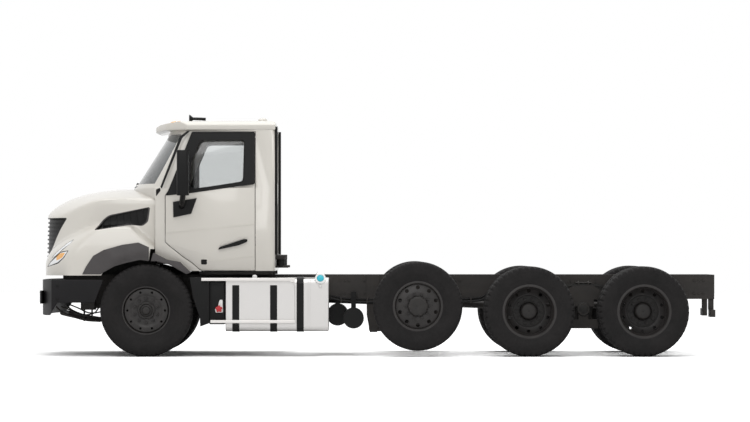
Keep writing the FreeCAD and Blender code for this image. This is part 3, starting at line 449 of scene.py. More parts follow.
def buildWheels():
    # every wheel from three patterns, placed on its axle and mirrored to the right side
    twin = (driveTyre, driveWheelParts(), (1.078, 0.748))
    patterns = {"front": (steerTyre, frontWheelParts(), (1.02,)),
                "pusher": (liftTyre, liftWheelParts(), (1.04,)), "drive1": twin, "drive2": twin}
    for key, (spec, parts, centres) in patterns.items():
        points, faces = tyreShape(spec)
        middle = sum(centres) / len(centres)
        tyres = [(points + [0, y - middle, 0], faces, 0) for y in centres]
        for side in ("left", "right"):
            tyre, wheel = "tyre_%s_%s" % (key, side), "wheel_%s_%s" % (key, side)
            body, flip = "%s_wheel_%s" % (key, side), side == "right"
            low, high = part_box(tyre)
            hub = ((low.x + high.x) / 2, middle, (low.z + high.z) / 2)
            place("tyreOn" + body, tyres, [rubber], body, [tyre], hub, flip, 40)
            place("discOn" + body, parts, [wheelCoat, hubIron], body, [wheel], hub, flip,
                  30)


buildWheels()
print("wheels made")


# Hood: fields are positive inside and about metres; a soft minimum rounds the edge between two of them.
hoodShape = {"crown": 2.05, "nose": 4.128, "side": 0.965, "fenderSide": 1.165, "edge": 0.016,
             "wall": 0.022, "spineX": 3.35, "spineZ": 1.2}


def softMin(k, *fields):
    return -k * np.logaddexp.reduce([-field / k for field in fields], axis=0)


def hoodField(x, y, z):
    # crown falls forward as t^2.4 and t^8 and sideways as y^2; the nose bows back as |y|^2.6
    h = hoodShape
    y = np.abs(y)
    t = np.clip((x - 3.0) / 1.15, 0, 1.2)
    fall = 0.155 + 0.22 * (np.clip(x - 3.35, 0, 1) / 0.46) ** 2
    top = h["crown"] - 0.2625 * t ** 2.4 - 0.088 * t ** 8 - fall * y ** 2 - z
    side = h["side"] - 0.06 * (np.clip(x - 2.74, 0, 2) / 0.66) ** 1.5 - 0.06 * np.clip(z - 1.55, 0, 1) - y
    bow = 0.36 + 0.6 * np.clip(z - 1.03, 0, 1)
    front = h["nose"] - 0.012 * ((z - 1.3) / 0.4) ** 2 - bow * y ** 2.6 - x
    nose = softMin(h["edge"], top, side, front)
    # fender: its crease climbs from the lamp to above the wheel, then drops to the door
    crease = softMin(0.01, 1.575 - 0.115 * ((x - 3.1) / 0.7) ** 2, 1.573 + 0.85 * (x - 3.024))
    lid = crease + 0.3 * (1.08 - y) - z
    flank = h["fenderSide"] - 0.3 * np.clip(z - 1.2, 0, 1) ** 1.5 - y
    brow = 4.09 - 2.0 * np.clip(z - 1.1, 0, 1) ** 2 - np.clip(y - 0.6, 0, 1) ** 2 - x
    fender = softMin(0.014, lid, flank, brow)
    body = -softMin(0.012, -nose, -fender)
    return np.minimum(body, z - 0.9)


def hoodRays(rows, columns):
    # rays square to a spine along the truck, then fanned forward from its end
    h = hoodShape
    straight = 0.36        # share of the rays that stand on the spine, and the rest fan from its end
    u = np.linspace(0, 1, rows)[:, None]
    turn = np.clip((u - straight) / (1 - straight), 0, 1) ** 0.9 * np.radians(89.6)
    a = (np.linspace(0, 2 * pi, columns, endpoint=False) + pi / columns)[None, :]
    start = np.stack(np.broadcast_arrays(2.55 + (h["spineX"] - 2.55) * np.clip(u / straight, 0,
                                                                               1) + 0 * a,
                                         0 * a, h["spineZ"] + 0 * a), -1)
    way = np.stack(np.broadcast_arrays(np.sin(turn) + 0 * a, np.cos(turn) * np.cos(a),
                                       np.cos(turn) * np.sin(a)), -1)
    return start, way


def skinAt(level, rows, columns, raised=None):
    # where each ray first meets field + raised = level: a coarse walk, then halving
    start, way = hoodRays(rows, columns)

    def field(r):
        p = start + way * r[..., None]
        f = hoodField(p[..., 0], p[..., 1], p[..., 2])
        return f - level + (raised(p[..., 0], p[..., 2]) if raised else 0)

    r = np.full(start.shape[:2], 0.05)
    for _ in range(90):
        r = np.where(field(r + 0.02) > 0, r + 0.02, r)
    low, high = r, r + 0.02
    for _ in range(14):
        middle = (low + high) / 2
        inside = field(middle) > 0
        low, high = np.where(inside, middle, low), np.where(inside, high, middle)
    return start + way * low[..., None]


def skinShell(outer, inner, rows=96, columns=220, raised=None):
    # closed shell between two levels of the hood's field
    a = skinAt(outer, rows, columns, raised).reshape(-1, 3)
    b = skinAt(inner, rows, columns).reshape(-1, 3)
    n = rows * columns
    outside = gridFaces(rows, columns, False, True)
    c = np.arange(columns)
    c2 = (c + 1) % columns
    last = (rows - 1) * columns
    back = np.stack([c2, c, c + n, c2 + n], -1)
    polygons = outside.tolist() + (outside[:, ::-1] + n).tolist() + back.tolist()
    polygons += [(c + last).tolist(), (c + last + n)[::-1].tolist()]
    return np.concatenate([a, b]), polygons


def flareRise(x, z):
    # arch flare: stands out 34 mm between 0.70 and 0.90 m from the wheel's centre, and turns in below
    away = np.hypot(x - 2.825, z - 0.56)
    out, tuck = np.clip((0.905 - away) / 0.17, 0, 1), np.clip((0.705 - away) / 0.07, 0, 1)
    return 0.006 + 0.034 * out - 0.024 * tuck


keepOutline = [(2.73, 0.985), (2.73, 2.3), (4.4, 2.3), (4.4, 0.985)]
hoodArch = [(2.6, 0.8), (2.6, 1.306), (2.776, 1.306), (2.79, 1.17), (2.9, 1.18), (3.06, 1.15),
            (3.201, 1.11), (3.341, 1.035), (3.377, 0.975), (3.38, 0.8)]
flareOutline = [(2.791, 1.16), (2.791, 1.328), (2.92, 1.385), (3.116, 1.357), (3.341, 1.294),
                (3.467, 1.223), (3.551, 1.097), (3.599, 1.0), (3.37, 1.0), (3.341, 1.025), (3.201, 1.1),
                (3.06, 1.14), (2.9, 1.175)]
ventOutline = rounded([(2.788, 1.821), (2.812, 1.64), (2.88, 1.585), (3.021, 1.6), (3.466, 1.532),
                       (3.36, 1.672), (3.289, 1.721)], 0.03)
grilleOutline = rounded([(-0.455, 1.03), (-0.7, 1.69), (0.7, 1.69), (0.455, 1.03)], 0.03)
lampOutline = rounded([(4.06, 1.085), (3.902, 1.13), (3.826, 1.2), (3.77, 1.29), (3.87, 1.275),
                       (3.94, 1.225), (4.03, 1.13)], 0.012)
amberOutline = rounded([(3.93, 1.165), (3.85, 1.2), (3.815, 1.262), (3.88, 1.256), (3.93, 1.225)], 0.01)
stripOutline = rounded([(4.0, 1.196), (3.94, 1.262), (3.8, 1.378), (3.715, 1.428), (3.742, 1.385),
                        (3.85, 1.295), (3.95, 1.218)], 0.008)


def shrunk(outline, gap):
    # outline drawn in towards its own middle by about gap
    p = np.array(outline)
    middle = p.mean(0)
    away = p - middle
    return middle + away * (1 - gap / np.linalg.norm(away, axis=1, keepdims=True))


def cowlCut():
    # the hood's rear edge follows the bowed cowl: an arc through both pillars and the cowl's nose
    half, sideX, noseX = 1.018, 2.673, 3.053
    a = np.linspace(-1, 1, 25)
    arc = np.stack([noseX - (noseX - sideX) * a ** 2, a * half], -1)
    return prism([(2.3, -half)] + arc.tolist() + [(2.3, half)], 2, 0.7, 2.3)


def sidePair(outline, low=0.62, high=1.35):
    solid = prism(outline, 1, low, high)
    return solid, mirroredSolid(solid)


def bothCuts(outline, operation="DIFFERENCE", low=0.62):
    return [(operation, solid) for solid in sidePair(outline, low)]


def bothParts(shell, outline, index, low=0.62):
    # the pieces of a shell inside an outline, on both sides of the truck
    return [(*carve(shell, [("INTERSECT", solid)]), index) for solid in sidePair(outline, low)]


def hoodArmParts():
    # gooseneck arms from the hinge, behind the bumper's edge and up to the nose
    x, z = 4.05, 0.835
    outline = rounded([(x - 0.026, z - 0.026), (x + 0.026, z - 0.026), (x + 0.026, z + 0.016),
                       (x - 0.14, z + 0.098), (x - 0.14, z + 0.152), (x + 0.05, z + 0.152),
                       (x + 0.05, z + 0.186), (x - 0.178, z + 0.186), (x - 0.178, z + 0.07)], 0.012)
    arm = prism(outline, 1, 0.23, 0.27)
    return [(*arm, 0), (*mirroredSolid(arm), 0)]


def buildHood():
    h = hoodShape
    keep = prism(keepOutline, 1, -1.4, 1.4)
    cuts = bothCuts(hoodArch, low=0.3) + [("INTERSECT", keep), ("DIFFERENCE", cowlCut())]
    cuts += bothCuts(ventOutline) + bothCuts(lampOutline) + bothCuts(stripOutline)
    cuts += [("DIFFERENCE", prism(grilleOutline, 0, 3.7, 4.4))] + bothCuts(flareOutline)
    skin = carve(skinShell(0.0, h["wall"]), cuts)
    place("hoodSkin", [(*skin, 0)], [enamel], "hood", ["hood"], smooth=34)
    place("hoodArms", hoodArmParts(), [chassis], "hood")
    flareShell = skinShell(0.0, 0.02, raised=flareRise)
    place("hoodFlares", bothParts(flareShell, flareOutline, 0), [polypropylene], "hood", ["hood_flares"],
          smooth=30)

    # grille: dished panel behind the skin, with level slats standing forward of it
    deep, fins = skinShell(0.026, 0.04), skinShell(0.01, 0.03)
    grille = [(*carve(deep, [("INTERSECT", prism(grilleOutline, 0, 3.6, 4.4))]), 0)]
    for z in np.arange(1.05, 1.67, 0.052):
        half = 0.455 + (z - 1.03) / 0.66 * 0.245 - 0.004
        bar = prism([(-half, z), (half, z), (half + 0.006, z + 0.02), (-half - 0.006, z + 0.02)], 0, 3.6,
                    4.4)
        grille.append((*carve(fins, [("INTERSECT", bar)]), 0))
    surround = carve(skinShell(0.002, 0.05), [
        ("INTERSECT", prism(grilleOutline, 0, 3.6, 4.4)),
        ("DIFFERENCE", prism(shrunk(grilleOutline, 0.03), 0, 3.5, 4.5))])
    place("grillePanel", grille + [(*surround, 0)], [blackPlastic], "hood", ["grille"])

    # side vents: a sloping frame, a dark mesh panel and raked ribs
    frameShell = carve(skinShell(0.001, 0.03), bothCuts(shrunk(ventOutline, 0.022)))
    vents = bothParts(frameShell, ventOutline, 0)
    vents += bothParts(deep, ventOutline, 1)
    for x in np.arange(2.84, 3.4, 0.085):
        rib = [(x, 1.5), (x + 0.014, 1.5), (x + 0.064, 1.85), (x + 0.05, 1.85)]
        vents += [(*carve(fins, [("INTERSECT", a), ("INTERSECT", b)]), 1)
                  for a, b in zip(sidePair(ventOutline), sidePair(rib, 0.5))]
    place("sideVents", vents, [polypropylene, blackPlastic], "hood", ["hood_vents"])

    # headlamps: black housing, clear lens with an amber end, and a thin slanted light above
    cover, house = skinShell(0.002, 0.01), skinShell(0.03, 0.04)
    lamps = bothParts(house, lampOutline, 0) + bothParts(house, stripOutline, 0)
    gasket = skinShell(0.001, 0.034)
    for outline, width in ((lampOutline, 0.016), (stripOutline, 0.01)):
        lamps += bothParts(carve(gasket, bothCuts(shrunk(outline, width), low=0.5)), outline, 0)
    lamps += bothParts(carve(cover, bothCuts(amberOutline)), shrunk(lampOutline, 0.004), 1)
    lamps += bothParts(cover, amberOutline, 2) + bothParts(cover, shrunk(stripOutline, 0.004), 1)
    place("headLamps", lamps, [blackPlastic, lens, amber], "hood", ["headlamps"])


buildHood()
print("hood made")


def softened(node, body, material, radius=0.006, large=None, steps=3):
    # pressed copy of a plain CAD piece: its convex edges rolled over, some of them by a larger radius
    bm = bmesh.new()
    bm.from_mesh(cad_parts[node].data)
    bmesh.ops.remove_doubles(bm, verts=bm.verts, dist=1e-5)
    bmesh.ops.dissolve_limit(bm, angle_limit=np.radians(0.6), verts=bm.verts, edges=bm.edges)
    sharp = [edge for edge in bm.edges if edge.is_manifold and edge.is_convex
             and edge.calc_face_angle() > np.radians(18)]
    wide = [edge for edge in sharp if large and large[1]((edge.verts[0].co + edge.verts[1].co) / 2,
                                                         edge.verts[1].co - edge.verts[0].co)]
    chosen = set(wide)
    narrow = [edge for edge in sharp if edge not in chosen]
    if wide:
        bmesh.ops.bevel(bm, geom=wide, offset=large[0], segments=5, profile=0.5, affect="EDGES",
                        clamp_overlap=True)
    bmesh.ops.bevel(bm, geom=[edge for edge in narrow if edge.is_valid], offset=radius, segments=steps,
                    profile=0.5, affect="EDGES", clamp_overlap=True)
    mesh = bpy.data.meshes.new(node + "Pressed")
    bm.to_mesh(mesh)
    bm.free()
    mesh.materials.clear()
    mesh.materials.append(material)
    mesh.shade_smooth()
    mesh.set_sharp_from_angle(angle=np.radians(33))
    obj = bpy.data.objects.new(node + "Pressed", mesh)
    bpy.context.collection.objects.link(obj)
    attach(obj, body)
    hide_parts(node)


def upright(run):
    return abs(run.z) > 0.8 * run.length


def pressPanels():
    # which plain CAD pieces become pressed or moulded ones: body, material, slot, edge radius
    corner = (0.045, lambda middle, run: upright(run) and abs(middle.y) > 0.9 and middle.x < 1.3)
    softened("cab_shell", "chassis", enamel, 0.006, corner)
    softened("roof", "chassis", enamel, 0.03, steps=4)
    softened("front_bumper", "chassis", bumperSkin, 0.022, steps=4)
    for side in ("left", "right"):
        softened("door_" + side, "door_" + side, enamel, 0.004, steps=2)
        softened("mirror_" + side, "door_" + side, blackPlastic, 0.012)
    for node, material, slot, radius in (
            ("fuel_tank", aluminium, "aluminium", 0.018), ("exhaust_box", aluminium, "aluminium", 0.025),
            ("battery_box", blackPlastic, "moulded_plastic", 0.012),
            ("wheel_arches", polypropylene, "moulded_plastic", 0.01),
            ("mud_guards", blackPlastic, "moulded_plastic", 0.006),
            ("tank_steps", treadBar, "aluminium", 0.005),
            ("dashboard", polypropylene, "moulded_plastic", 0.03), ("engine", iron, "cast_iron", 0.015),
            ("tail_lamps", chassis, "lamp_lens", 0.004)):
        softened(node, "chassis", material, radius)


def slab(outline, y0, y1, index=0, edge=0.004):
    # plate in the x-z plane between two depths, its outer edge chamfered
    p = np.array(outline, float)
    inner = shrunk(p, edge)
    n = len(p)
    rings = [np.insert(p, 1, y0, axis=1), np.insert(p, 1, y1 - edge * np.sign(y1 - y0), axis=1),
             np.insert(inner, 1, y1, axis=1)]
    quads = gridFaces(3, n, False, True)
    area = np.sum(p[:, 0] * np.roll(p[:, 1], -1) - np.roll(p[:, 0], -1) * p[:, 1])
    flipped = (area > 0) != (y1 > y0)
    quads = quads if flipped else quads[:, ::-1]
    i = np.arange(n)
    caps = [i[::-1].tolist(), (i + 2 * n).tolist()] if flipped else [i.tolist(),
                                                                     (i + 2 * n)[::-1].tolist()]
    return np.concatenate(rings), quads.tolist() + caps, index


def tube(points, radius, index=0, sides=10):
    # round bar along a path of points; each ring stands square to the path
    p = np.array(points, float)
    way = np.gradient(p, axis=0)
    way /= np.linalg.norm(way, axis=1, keepdims=True)
    up = np.where(np.abs(way[:, 2:3]) < 0.9, [[0.0, 0.0, 1.0]], [[0.0, 1.0, 0.0]])
    a = np.cross(way, up)
    a /= np.linalg.norm(a, axis=1, keepdims=True)
    b = np.cross(way, a)
    t = np.linspace(0, 2 * pi, sides, endpoint=False)[None, :, None]
    rings = p[:, None] + radius * (a[:, None] * np.cos(t) + b[:, None] * np.sin(t))
    n = len(p)
    polygons = gridFaces(n, sides, False, True)[:, ::-1].tolist()
    polygons += [np.arange(sides).tolist(), (np.arange(sides) + (n - 1) * sides)[::-1].tolist()]
    return rings.reshape(-1, 3), polygons, index


def curve(points, count=24):
    # smooth path through a few given points (Catmull-Rom)
    p = np.array(points, float)
    p = np.concatenate([2 * p[:1] - p[1:2], p, 2 * p[-1:] - p[-2:-1]])
    out = []
    for i in range(1, len(p) - 2):
        t = np.linspace(0, 1, max(3, count // (len(p) - 3)), endpoint=False)[:, None]
        a, b, c, d = p[i - 1:i + 3]
        out.append(0.5 * (2 * b + (c - a) * t + (2 * a - 5 * b + 4 * c - d) * t ** 2
                          + (3 * b - a - 3 * c + d) * t ** 3))
    return np.concatenate(out + [p[-2:-1]])


def block(low, high, index=0, edge=0.004):
    # box with its six faces drawn in and its edges chamfered
    low, high = np.array(low, float), np.array(high, float)
    x, y, z = ((low[i], high[i]) for i in range(3))
    e = min(edge, 0.3 * float(np.min(high - low)))
    p = np.array([(x[0], z[0]), (x[1], z[0]), (x[1], z[1]), (x[0], z[1])])
    inner = p + np.sign(p.mean(0) - p) * e
    rings = [np.insert(inner, 1, y[0], axis=1), np.insert(p, 1, y[0] + e, axis=1),
             np.insert(p, 1, y[1] - e, axis=1), np.insert(inner, 1, y[1], axis=1)]
    quads = gridFaces(4, 4, False, True).tolist()
    return np.concatenate(rings), quads + [[3, 2, 1, 0], [12, 13, 14, 15]], index


def turned(profile, centre, axis, index=0, segments=40):
    # outline of (distance along the axis, radius) turned about an axis through centre
    points, quads = spun(profile, segments)
    axis = np.array(axis, float) / np.linalg.norm(axis)
    side = np.cross(axis, [0.3, 0.2, 0.93])
    side /= np.linalg.norm(side)
    third = np.cross(side, axis)
    return points @ np.array([third, axis, side]) + centre, quads.tolist(), index


def flipParts(parts):
    return [(*mirroredSolid((p, f)), m) for p, f, m in parts]


def sideY(z):
    # half width of the cab's side at a height: out to the belt, then in to the eaves
    return np.interp(z, [1.04, 1.4, 2.05, 2.76], [1.025, 1.055, 1.055, 0.975])


def onSide(part, out=0.0):
    # lays a slab made at y = 0 on the cab's leaning side
    points, polygons, index = part
    points = np.array(points)
    points[:, 1] += sideY(points[:, 2]) + out
    return points, polygons, index


doorFrame = [(2.597, 1.955), (2.566, 2.01), (2.28, 2.731), (1.51, 2.731), (1.51, 2.098), (2.285, 1.986)]
doorPane = rounded([(2.292, 2.365), (2.297, 2.032), (2.096, 2.056), (1.65, 2.125), (1.637, 2.636),
                    (2.172, 2.636)], 0.05)


def doorTrimParts():
    # black frame round the window, its rubber seal, the slanted handle over its recess, a plug, two creases
    frameSlab = slab(rounded(doorFrame, 0.02), -0.004, 0.006, edge=0.002)
    border = carve(frameSlab[:2], [("DIFFERENCE", prism(doorPane, 1, -0.2, 0.2))])
    seal = np.insert(doorPane, 1, 0.007, axis=1)
    handle = rounded([(1.957, 1.298), (1.94, 1.33), (1.64, 1.428), (1.598, 1.425), (1.6, 1.396),
                      (1.7, 1.352)], 0.014)
    well = rounded([(1.935, 1.345), (1.9, 1.395), (1.65, 1.47), (1.625, 1.448), (1.66, 1.425)], 0.02)
    plug = rounded([(2.165, 1.118), (2.165, 1.179), (2.093, 1.179), (2.093, 1.118)], 0.012)
    crease = [(2.585, 1.5), (2.585, 1.512), (1.515, 1.612), (1.515, 1.6)]
    lower = [(2.1, 1.15), (2.1, 1.16), (1.515, 1.225), (1.515, 1.213)]
    return [onSide(part) for part in (
        (*border, 0), tube(np.concatenate([seal, seal[:2]]), 0.006, 1, 6),
        slab(handle, 0.0, 0.03, 0, 0.008), slab(well, -0.002, 0.0035, 2, 0.003),
        slab(plug, -0.002, 0.006, 0, 0.004), slab(crease, -0.003, 0.004, 2, 0.003),
        slab(lower, -0.003, 0.004, 2, 0.003))]


def cabTrimParts():
    # on both sides: black pillar edge, cowl strip, sill rails, rear corner trim and rear mounts
    pillar = rounded([(2.66, 2.06), (2.64, 2.04), (2.395, 2.66), (2.3, 2.742), (2.33, 2.748),
                      (2.425, 2.68)], 0.01)
    cowlEnd = rounded([(2.712, 1.945), (2.712, 2.03), (2.662, 2.052), (2.655, 2.015)], 0.01)
    return [onSide(slab(pillar, -0.004, 0.007, 0, 0.002)), onSide(slab(cowlEnd, -0.03, 0.004, 0)),
            block((1.3, 0.8, 0.992), (2.2, 0.86, 1.036), 1, 0.006),
            block((2.33, 0.62, 1.122), (2.72, 0.66, 1.2), 1, 0.006),
            block((1.236, 0.905, 1.237), (1.268, 0.955, 2.8), 0, 0.01),
            block((1.272, 0.5, 0.992), (1.431, 0.62, 1.078), 1, 0.012),
            turned([(-0.05, 0.0005), (-0.05, 0.055), (0.05, 0.055), (0.05, 0.0005)],
                   (1.205, 0.55, 1.135), (0, 0, 1), 0, 24),
            block((1.114, 0.5, 1.076), (1.272, 0.6, 1.105), 1, 0.006),
            block((1.15, 0.44, 1.18), (1.272, 0.66, 1.236), 1, 0.01)]


def cowlParts():
    # strip along the foot of the windscreen, bowed as the cowl is, with two wipers
    bow, half, foot, blade = 0.37, 0.98, 2.985, 2.9
    a = np.linspace(-0.93, 0.93, 40)
    parts = [tube(np.stack([3.02 - bow * a ** 2, a * half, 2.062 + 0.004 * np.cos(a)], -1), 0.02)]
    for y0, y1 in ((0.1, 0.62), (-0.66, -0.14)):
        t = np.linspace(0, 1, 12)[:, None]
        start = np.array([foot - bow * (y0 / half) ** 2, y0, 2.1])
        end = np.array([blade - bow * (y1 / half) ** 2, y1, 2.235])
        parts.append(tube(start + (end - start) * t + [0.012, 0, 0], 0.008, 0, 8))
        parts.append(turned([(0, 0.0005), (0, 0.022), (0.03, 0.018), (0.034, 0.0005)], start, (1, 0, 0.5),
                            0, 20))
    return parts


def roofParts():
    # five clearance lamps over the visor, a horn and a low dome
    lampShape = [(0, 0.0005), (0, 0.046), (0.012, 0.044), (0.026, 0.03), (0.03, 0.0005)]
    parts = [turned(lampShape, (2.56 - 0.25 * y ** 2, y, 2.862 - 0.035 * y ** 2), (0.25, 0, 1), 1, 24)
             for y in np.linspace(-0.62, 0.62, 5)]
    return parts + [
        tube([(2.14, 0.3, 2.915), (2.2, 0.3, 2.918), (2.29, 0.3, 2.92), (2.31, 0.3, 2.92)], 0.018, 0, 16),
        turned([(0, 0.0005), (0, 0.02), (0.03, 0.045), (0.045, 0.052), (0.046, 0.0005)],
               (2.3, 0.3, 2.92), (1, 0, 0), 0, 24),
        turned([(0, 0.0005), (0, 0.06), (0.018, 0.056), (0.036, 0.034), (0.04, 0.0005)],
               (1.437, 0.25, 2.893), (0, 0, 1), 2, 32)]


def buildCab():
    trim, edges = doorTrimParts(), cabTrimParts()
    for name, parts, materials, body in (
            ("doorTrimleft", trim, [blackPlastic, rubber, enamel], "door_left"),
            ("doorTrimright", flipParts(trim), [blackPlastic, rubber, enamel], "door_right"),
            ("cabEdgeTrim", edges + flipParts(edges), [blackPlastic, chassis], "chassis"),
            ("cowlTrim", cowlParts(), [blackPlastic], "chassis"),
            ("roofFittings", roofParts(), [blackPlastic, amber, enamel], "chassis")):
        place(name, parts, materials, body)


def seatPad(name, centre, size, lean, channels):
    # superellipsoid whose sides pull in between its corners: crowned on top, with side bolsters and sewn
    # channels across it, and tipped back by lean
    def power(value, p):
        return np.sign(value) * np.absolute(value) ** p

    rows, columns = 60, 120
    u = np.linspace(-pi / 2, pi / 2, rows)[:, None]
    v = np.linspace(0, 2 * pi, columns, endpoint=False)[None, :]
    x = power(np.cos(u), 0.42) * power(np.cos(v), 0.36)
    y = power(np.cos(u), 0.42) * power(np.sin(v), 0.36)
    z = power(np.sin(u), 0.55)
    bolster = np.exp(-((np.absolute(y) - 0.82) / 0.14) ** 2)
    z = z + 0.22 * (1 - x ** 2) * (1 - y ** 2) * (z > 0) + 0.18 * bolster * (z > 0)
    sewn = sum(np.exp(-((x - c) / 0.03) ** 2) for c in channels)
    z = z - 0.1 * (z > 0.5) * sewn * (np.absolute(y) < 0.66)
    points = np.stack(np.broadcast_arrays(*(way * span / 2 for way, span in zip((x, y, z), size))),
                      -1).reshape(-1, 3)
    turn = np.array([[np.cos(lean), 0, -np.sin(lean)], [0, 1, 0], [np.sin(lean), 0, np.cos(lean)]])
    faces = gridFaces(rows, columns, False, True)
    pad = place(name, [(points @ turn.T + centre, faces, 0)], [cloth], "chassis",
                smooth=60)
    bm = bmesh.new()
    bm.from_mesh(pad.data)
    bmesh.ops.remove_doubles(bm, verts=bm.verts, dist=1e-4)
    bmesh.ops.recalc_face_normals(bm, faces=bm.faces)
    bm.to_mesh(pad.data)
    bm.free()


def buildSeats():
    # two seats: cushion, back and head rest on a pressed base with two posts
    for side, y in (("left", 0.48), ("right", -0.48)):
        seatPad("seatCushion" + side, (1.79, y, 1.415), (0.54, 0.52, 0.15), 0.06, (-0.35, 0.0, 0.35))
        seatPad("seatBack" + side, (1.535, y, 1.82), (0.66, 0.5, 0.14), 1.44, (-0.3, 0.0, 0.3))
        seatPad("headRest" + side, (1.475, y, 2.215), (0.17, 0.28, 0.1), 1.44, ())
        parts = [block((1.6, y - 0.19, 1.09), (1.98, y + 0.19, 1.335), 0, 0.02)]
        parts += [tube([(1.485, y + dy, 2.1), (1.478, y + dy, 2.19)], 0.007, 1) for dy in (-0.07, 0.07)]
        place("seatBase" + side, parts, [blackPlastic, treadBar], "chassis",
              ["seats"] if side == "left" else ())


def buildTank():
    # pressed panel and seams on the tank's face, strap covers, filler neck with ring and lid, latch, gauge
    face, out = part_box("fuel_tank")[1].y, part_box("tank_straps")[1].y
    panel = rounded([(1.858, 0.398), (1.858, 0.925), (1.075, 0.925), (1.022, 0.862), (1.022, 0.398)],
                    0.02)
    parts = [slab(panel, face - 0.002, face + 0.005, 0, 0.003)]
    for x in (0.86, 0.832):
        seam = [(x - 0.003, 0.345), (x + 0.003, 0.345), (x + 0.003, 0.93), (x - 0.003, 0.93)]
        parts.append(slab(seam, face - 0.002, face + 0.003, 0, 0.001))
    for x, top, foot in ((1.738, 0.868, 0.4), (1.279, 0.868, 0.4), (0.9565, 0.9, 0.345)):
        cover = rounded([(x - 0.043, foot), (x + 0.043, foot), (x + 0.043, top), (x - 0.043, top)], 0.008)
        parts.append(slab(cover, out - 0.002, out + 0.01, 1, 0.006))
    neck = [(0, 0.0005), (0, 0.058), (0.05, 0.058), (0.05, 0.0005)]
    ring = [(0.048, 0.0005), (0.048, 0.066), (0.06, 0.066), (0.066, 0.06), (0.066, 0.046), (0.06, 0.044),
            (0.06, 0.0005)]
    lid = [(0.058, 0.0005), (0.058, 0.043), (0.07, 0.04), (0.078, 0.026), (0.08, 0.0005)]
    for profile, index, segments in ((neck, 0, 40), (ring, 2, 48), (lid, 3, 48)):
        parts.append(turned(profile, (0.712, face - 0.055, 0.93), (0, 0.94, 0.34), index, segments))
    latch = rounded([(0.7, 0.835), (0.724, 0.835), (0.732, 0.875), (0.692, 0.875)], 0.008)
    parts.append(slab(latch, face, face + 0.014, 0, 0.004))
    parts.append(turned([(0, 0.0005), (0, 0.03), (0.03, 0.028), (0.04, 0.016), (0.042, 0.0005)],
                        (1.51, face - 0.05, 0.952), (0, 0, 1), 2, 24))
    place("tankFittings", parts, [aluminium, blackPlastic, whitePlastic, cyanPlastic], "chassis")


def buildSwitch():
    # battery switch: white tag, five-sided red knob, and a dark rim down each side of the box
    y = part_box("battery_box")[1].y
    tag = rounded([(1.895, 0.535), (1.985, 0.535), (1.99, 0.58), (1.955, 0.61), (1.935, 0.69),
                   (1.9, 0.69)], 0.012)
    knob = lathe([(-0.002, 0.0005), (-0.002, 0.024), (0.018, 0.022), (0.018, 0.042), (0.032, 0.042),
                  (0.036, 0.0005)], 0.003, 60, 1,
                 warp=lambda a, out, r: r * (1 - 0.22 * (np.cos(5 * a) < -0.2) * (r > 0.03)))
    parts = [slab(tag, y - 0.001, y + 0.004, 0, 0.001), (knob[0] + [1.943, y + 0.002, 0.58], knob[1], 1)]
    parts += [slab([(x, 0.41), (x + 0.01, 0.41), (x + 0.01, 0.89), (x, 0.89)], y - 0.001, y + 0.006, 2)
              for x in (1.88, 2.045)]
    place("batterySwitch", parts, [whitePlastic, redPlastic, blackPlastic], "chassis")


def railBolts():
    # groups of six flange heads on the rail's outer face where the crossmembers are
    parts = []
    for x in (-3.95, -3.45, -2.95, -2.05, -1.55, -0.95, -0.4, 0.12, 0.42):
        for dx in (-0.055, 0.0, 0.055):
            for z in (0.76, 0.92):
                for points, quads in (studs(1, 0.0, 0.013, 0.429, 0.443),
                                      studs(1, 0.0, 0.019, 0.429, 0.434, 12, 0.0, 1.0)):
                    parts.append((points + [x + dx, 0, z], quads, 0))
    return parts


def tandemSpringParts():
    # five leaves, each shorter than the one above, U bolts and their plate, and the trunnion's cap
    middle, hubHeight, parts = -2.52, 0.566, []
    for i, half in enumerate((0.6, 0.56, 0.48, 0.4, 0.3)):
        x = np.linspace(-half, half, 22)
        z = 0.868 - 0.038 * i - 0.1 * (x / 0.6) ** 2
        top = np.stack([x + middle, z + 0.014], -1)
        foot = np.stack([x + middle, z - 0.014], -1)
        parts.append((*prism(np.concatenate([foot, top[::-1]]), 1, 0.452, 0.542), 2))
    for x in (-2.459, -2.581):
        bolt = curve([(x, 0.447, 0.6), (x, 0.447, 0.86), (x, 0.45, 0.893), (x, 0.497, 0.905),
                      (x, 0.544, 0.893), (x, 0.547, 0.86), (x, 0.547, 0.6)], 42)
        parts.append(tube(bolt, 0.011))
    parts.append(block((-2.62, 0.44, 0.885), (-2.42, 0.554, 0.899)))
    cap = rounded([(0, 0.0005), (0, 0.088), (0.02, 0.086), (0.03, 0.06), (0.044, 0.056), (0.05, 0.0005)],
                  0.004)
    parts.append(turned(cap, (middle, 0.545, hubHeight), (0, 1, 0), 2, 48))
    points, quads = studs(6, 0.07, 0.01, 0.566, 0.58)
    return parts + [(points + [middle, 0, hubHeight], quads, 0)]


def buildChassisDetail():
    # bolts, two pipes clipped below the rail with their clips, and the tandem's springs
    pipe = curve([(0.6, 0.452, 0.7), (0.4, 0.456, 0.662), (0.0, 0.456, 0.65), (-0.62, 0.456, 0.652),
                  (-1.2, 0.452, 0.668), (-1.34, 0.44, 0.72)], 60)
    parts = railBolts() + [tube(pipe, 0.015, 1), tube(pipe + [0.0, -0.014, 0.034], 0.01, 1)]
    parts += [block((x, 0.428, 0.64), (x + 0.022, 0.476, 0.706)) for x in np.arange(-1.15, 0.5, 0.32)]
    parts += tandemSpringParts()
    place("frameFittings", parts + flipParts(parts), [chassis, blackPlastic, iron], "chassis")


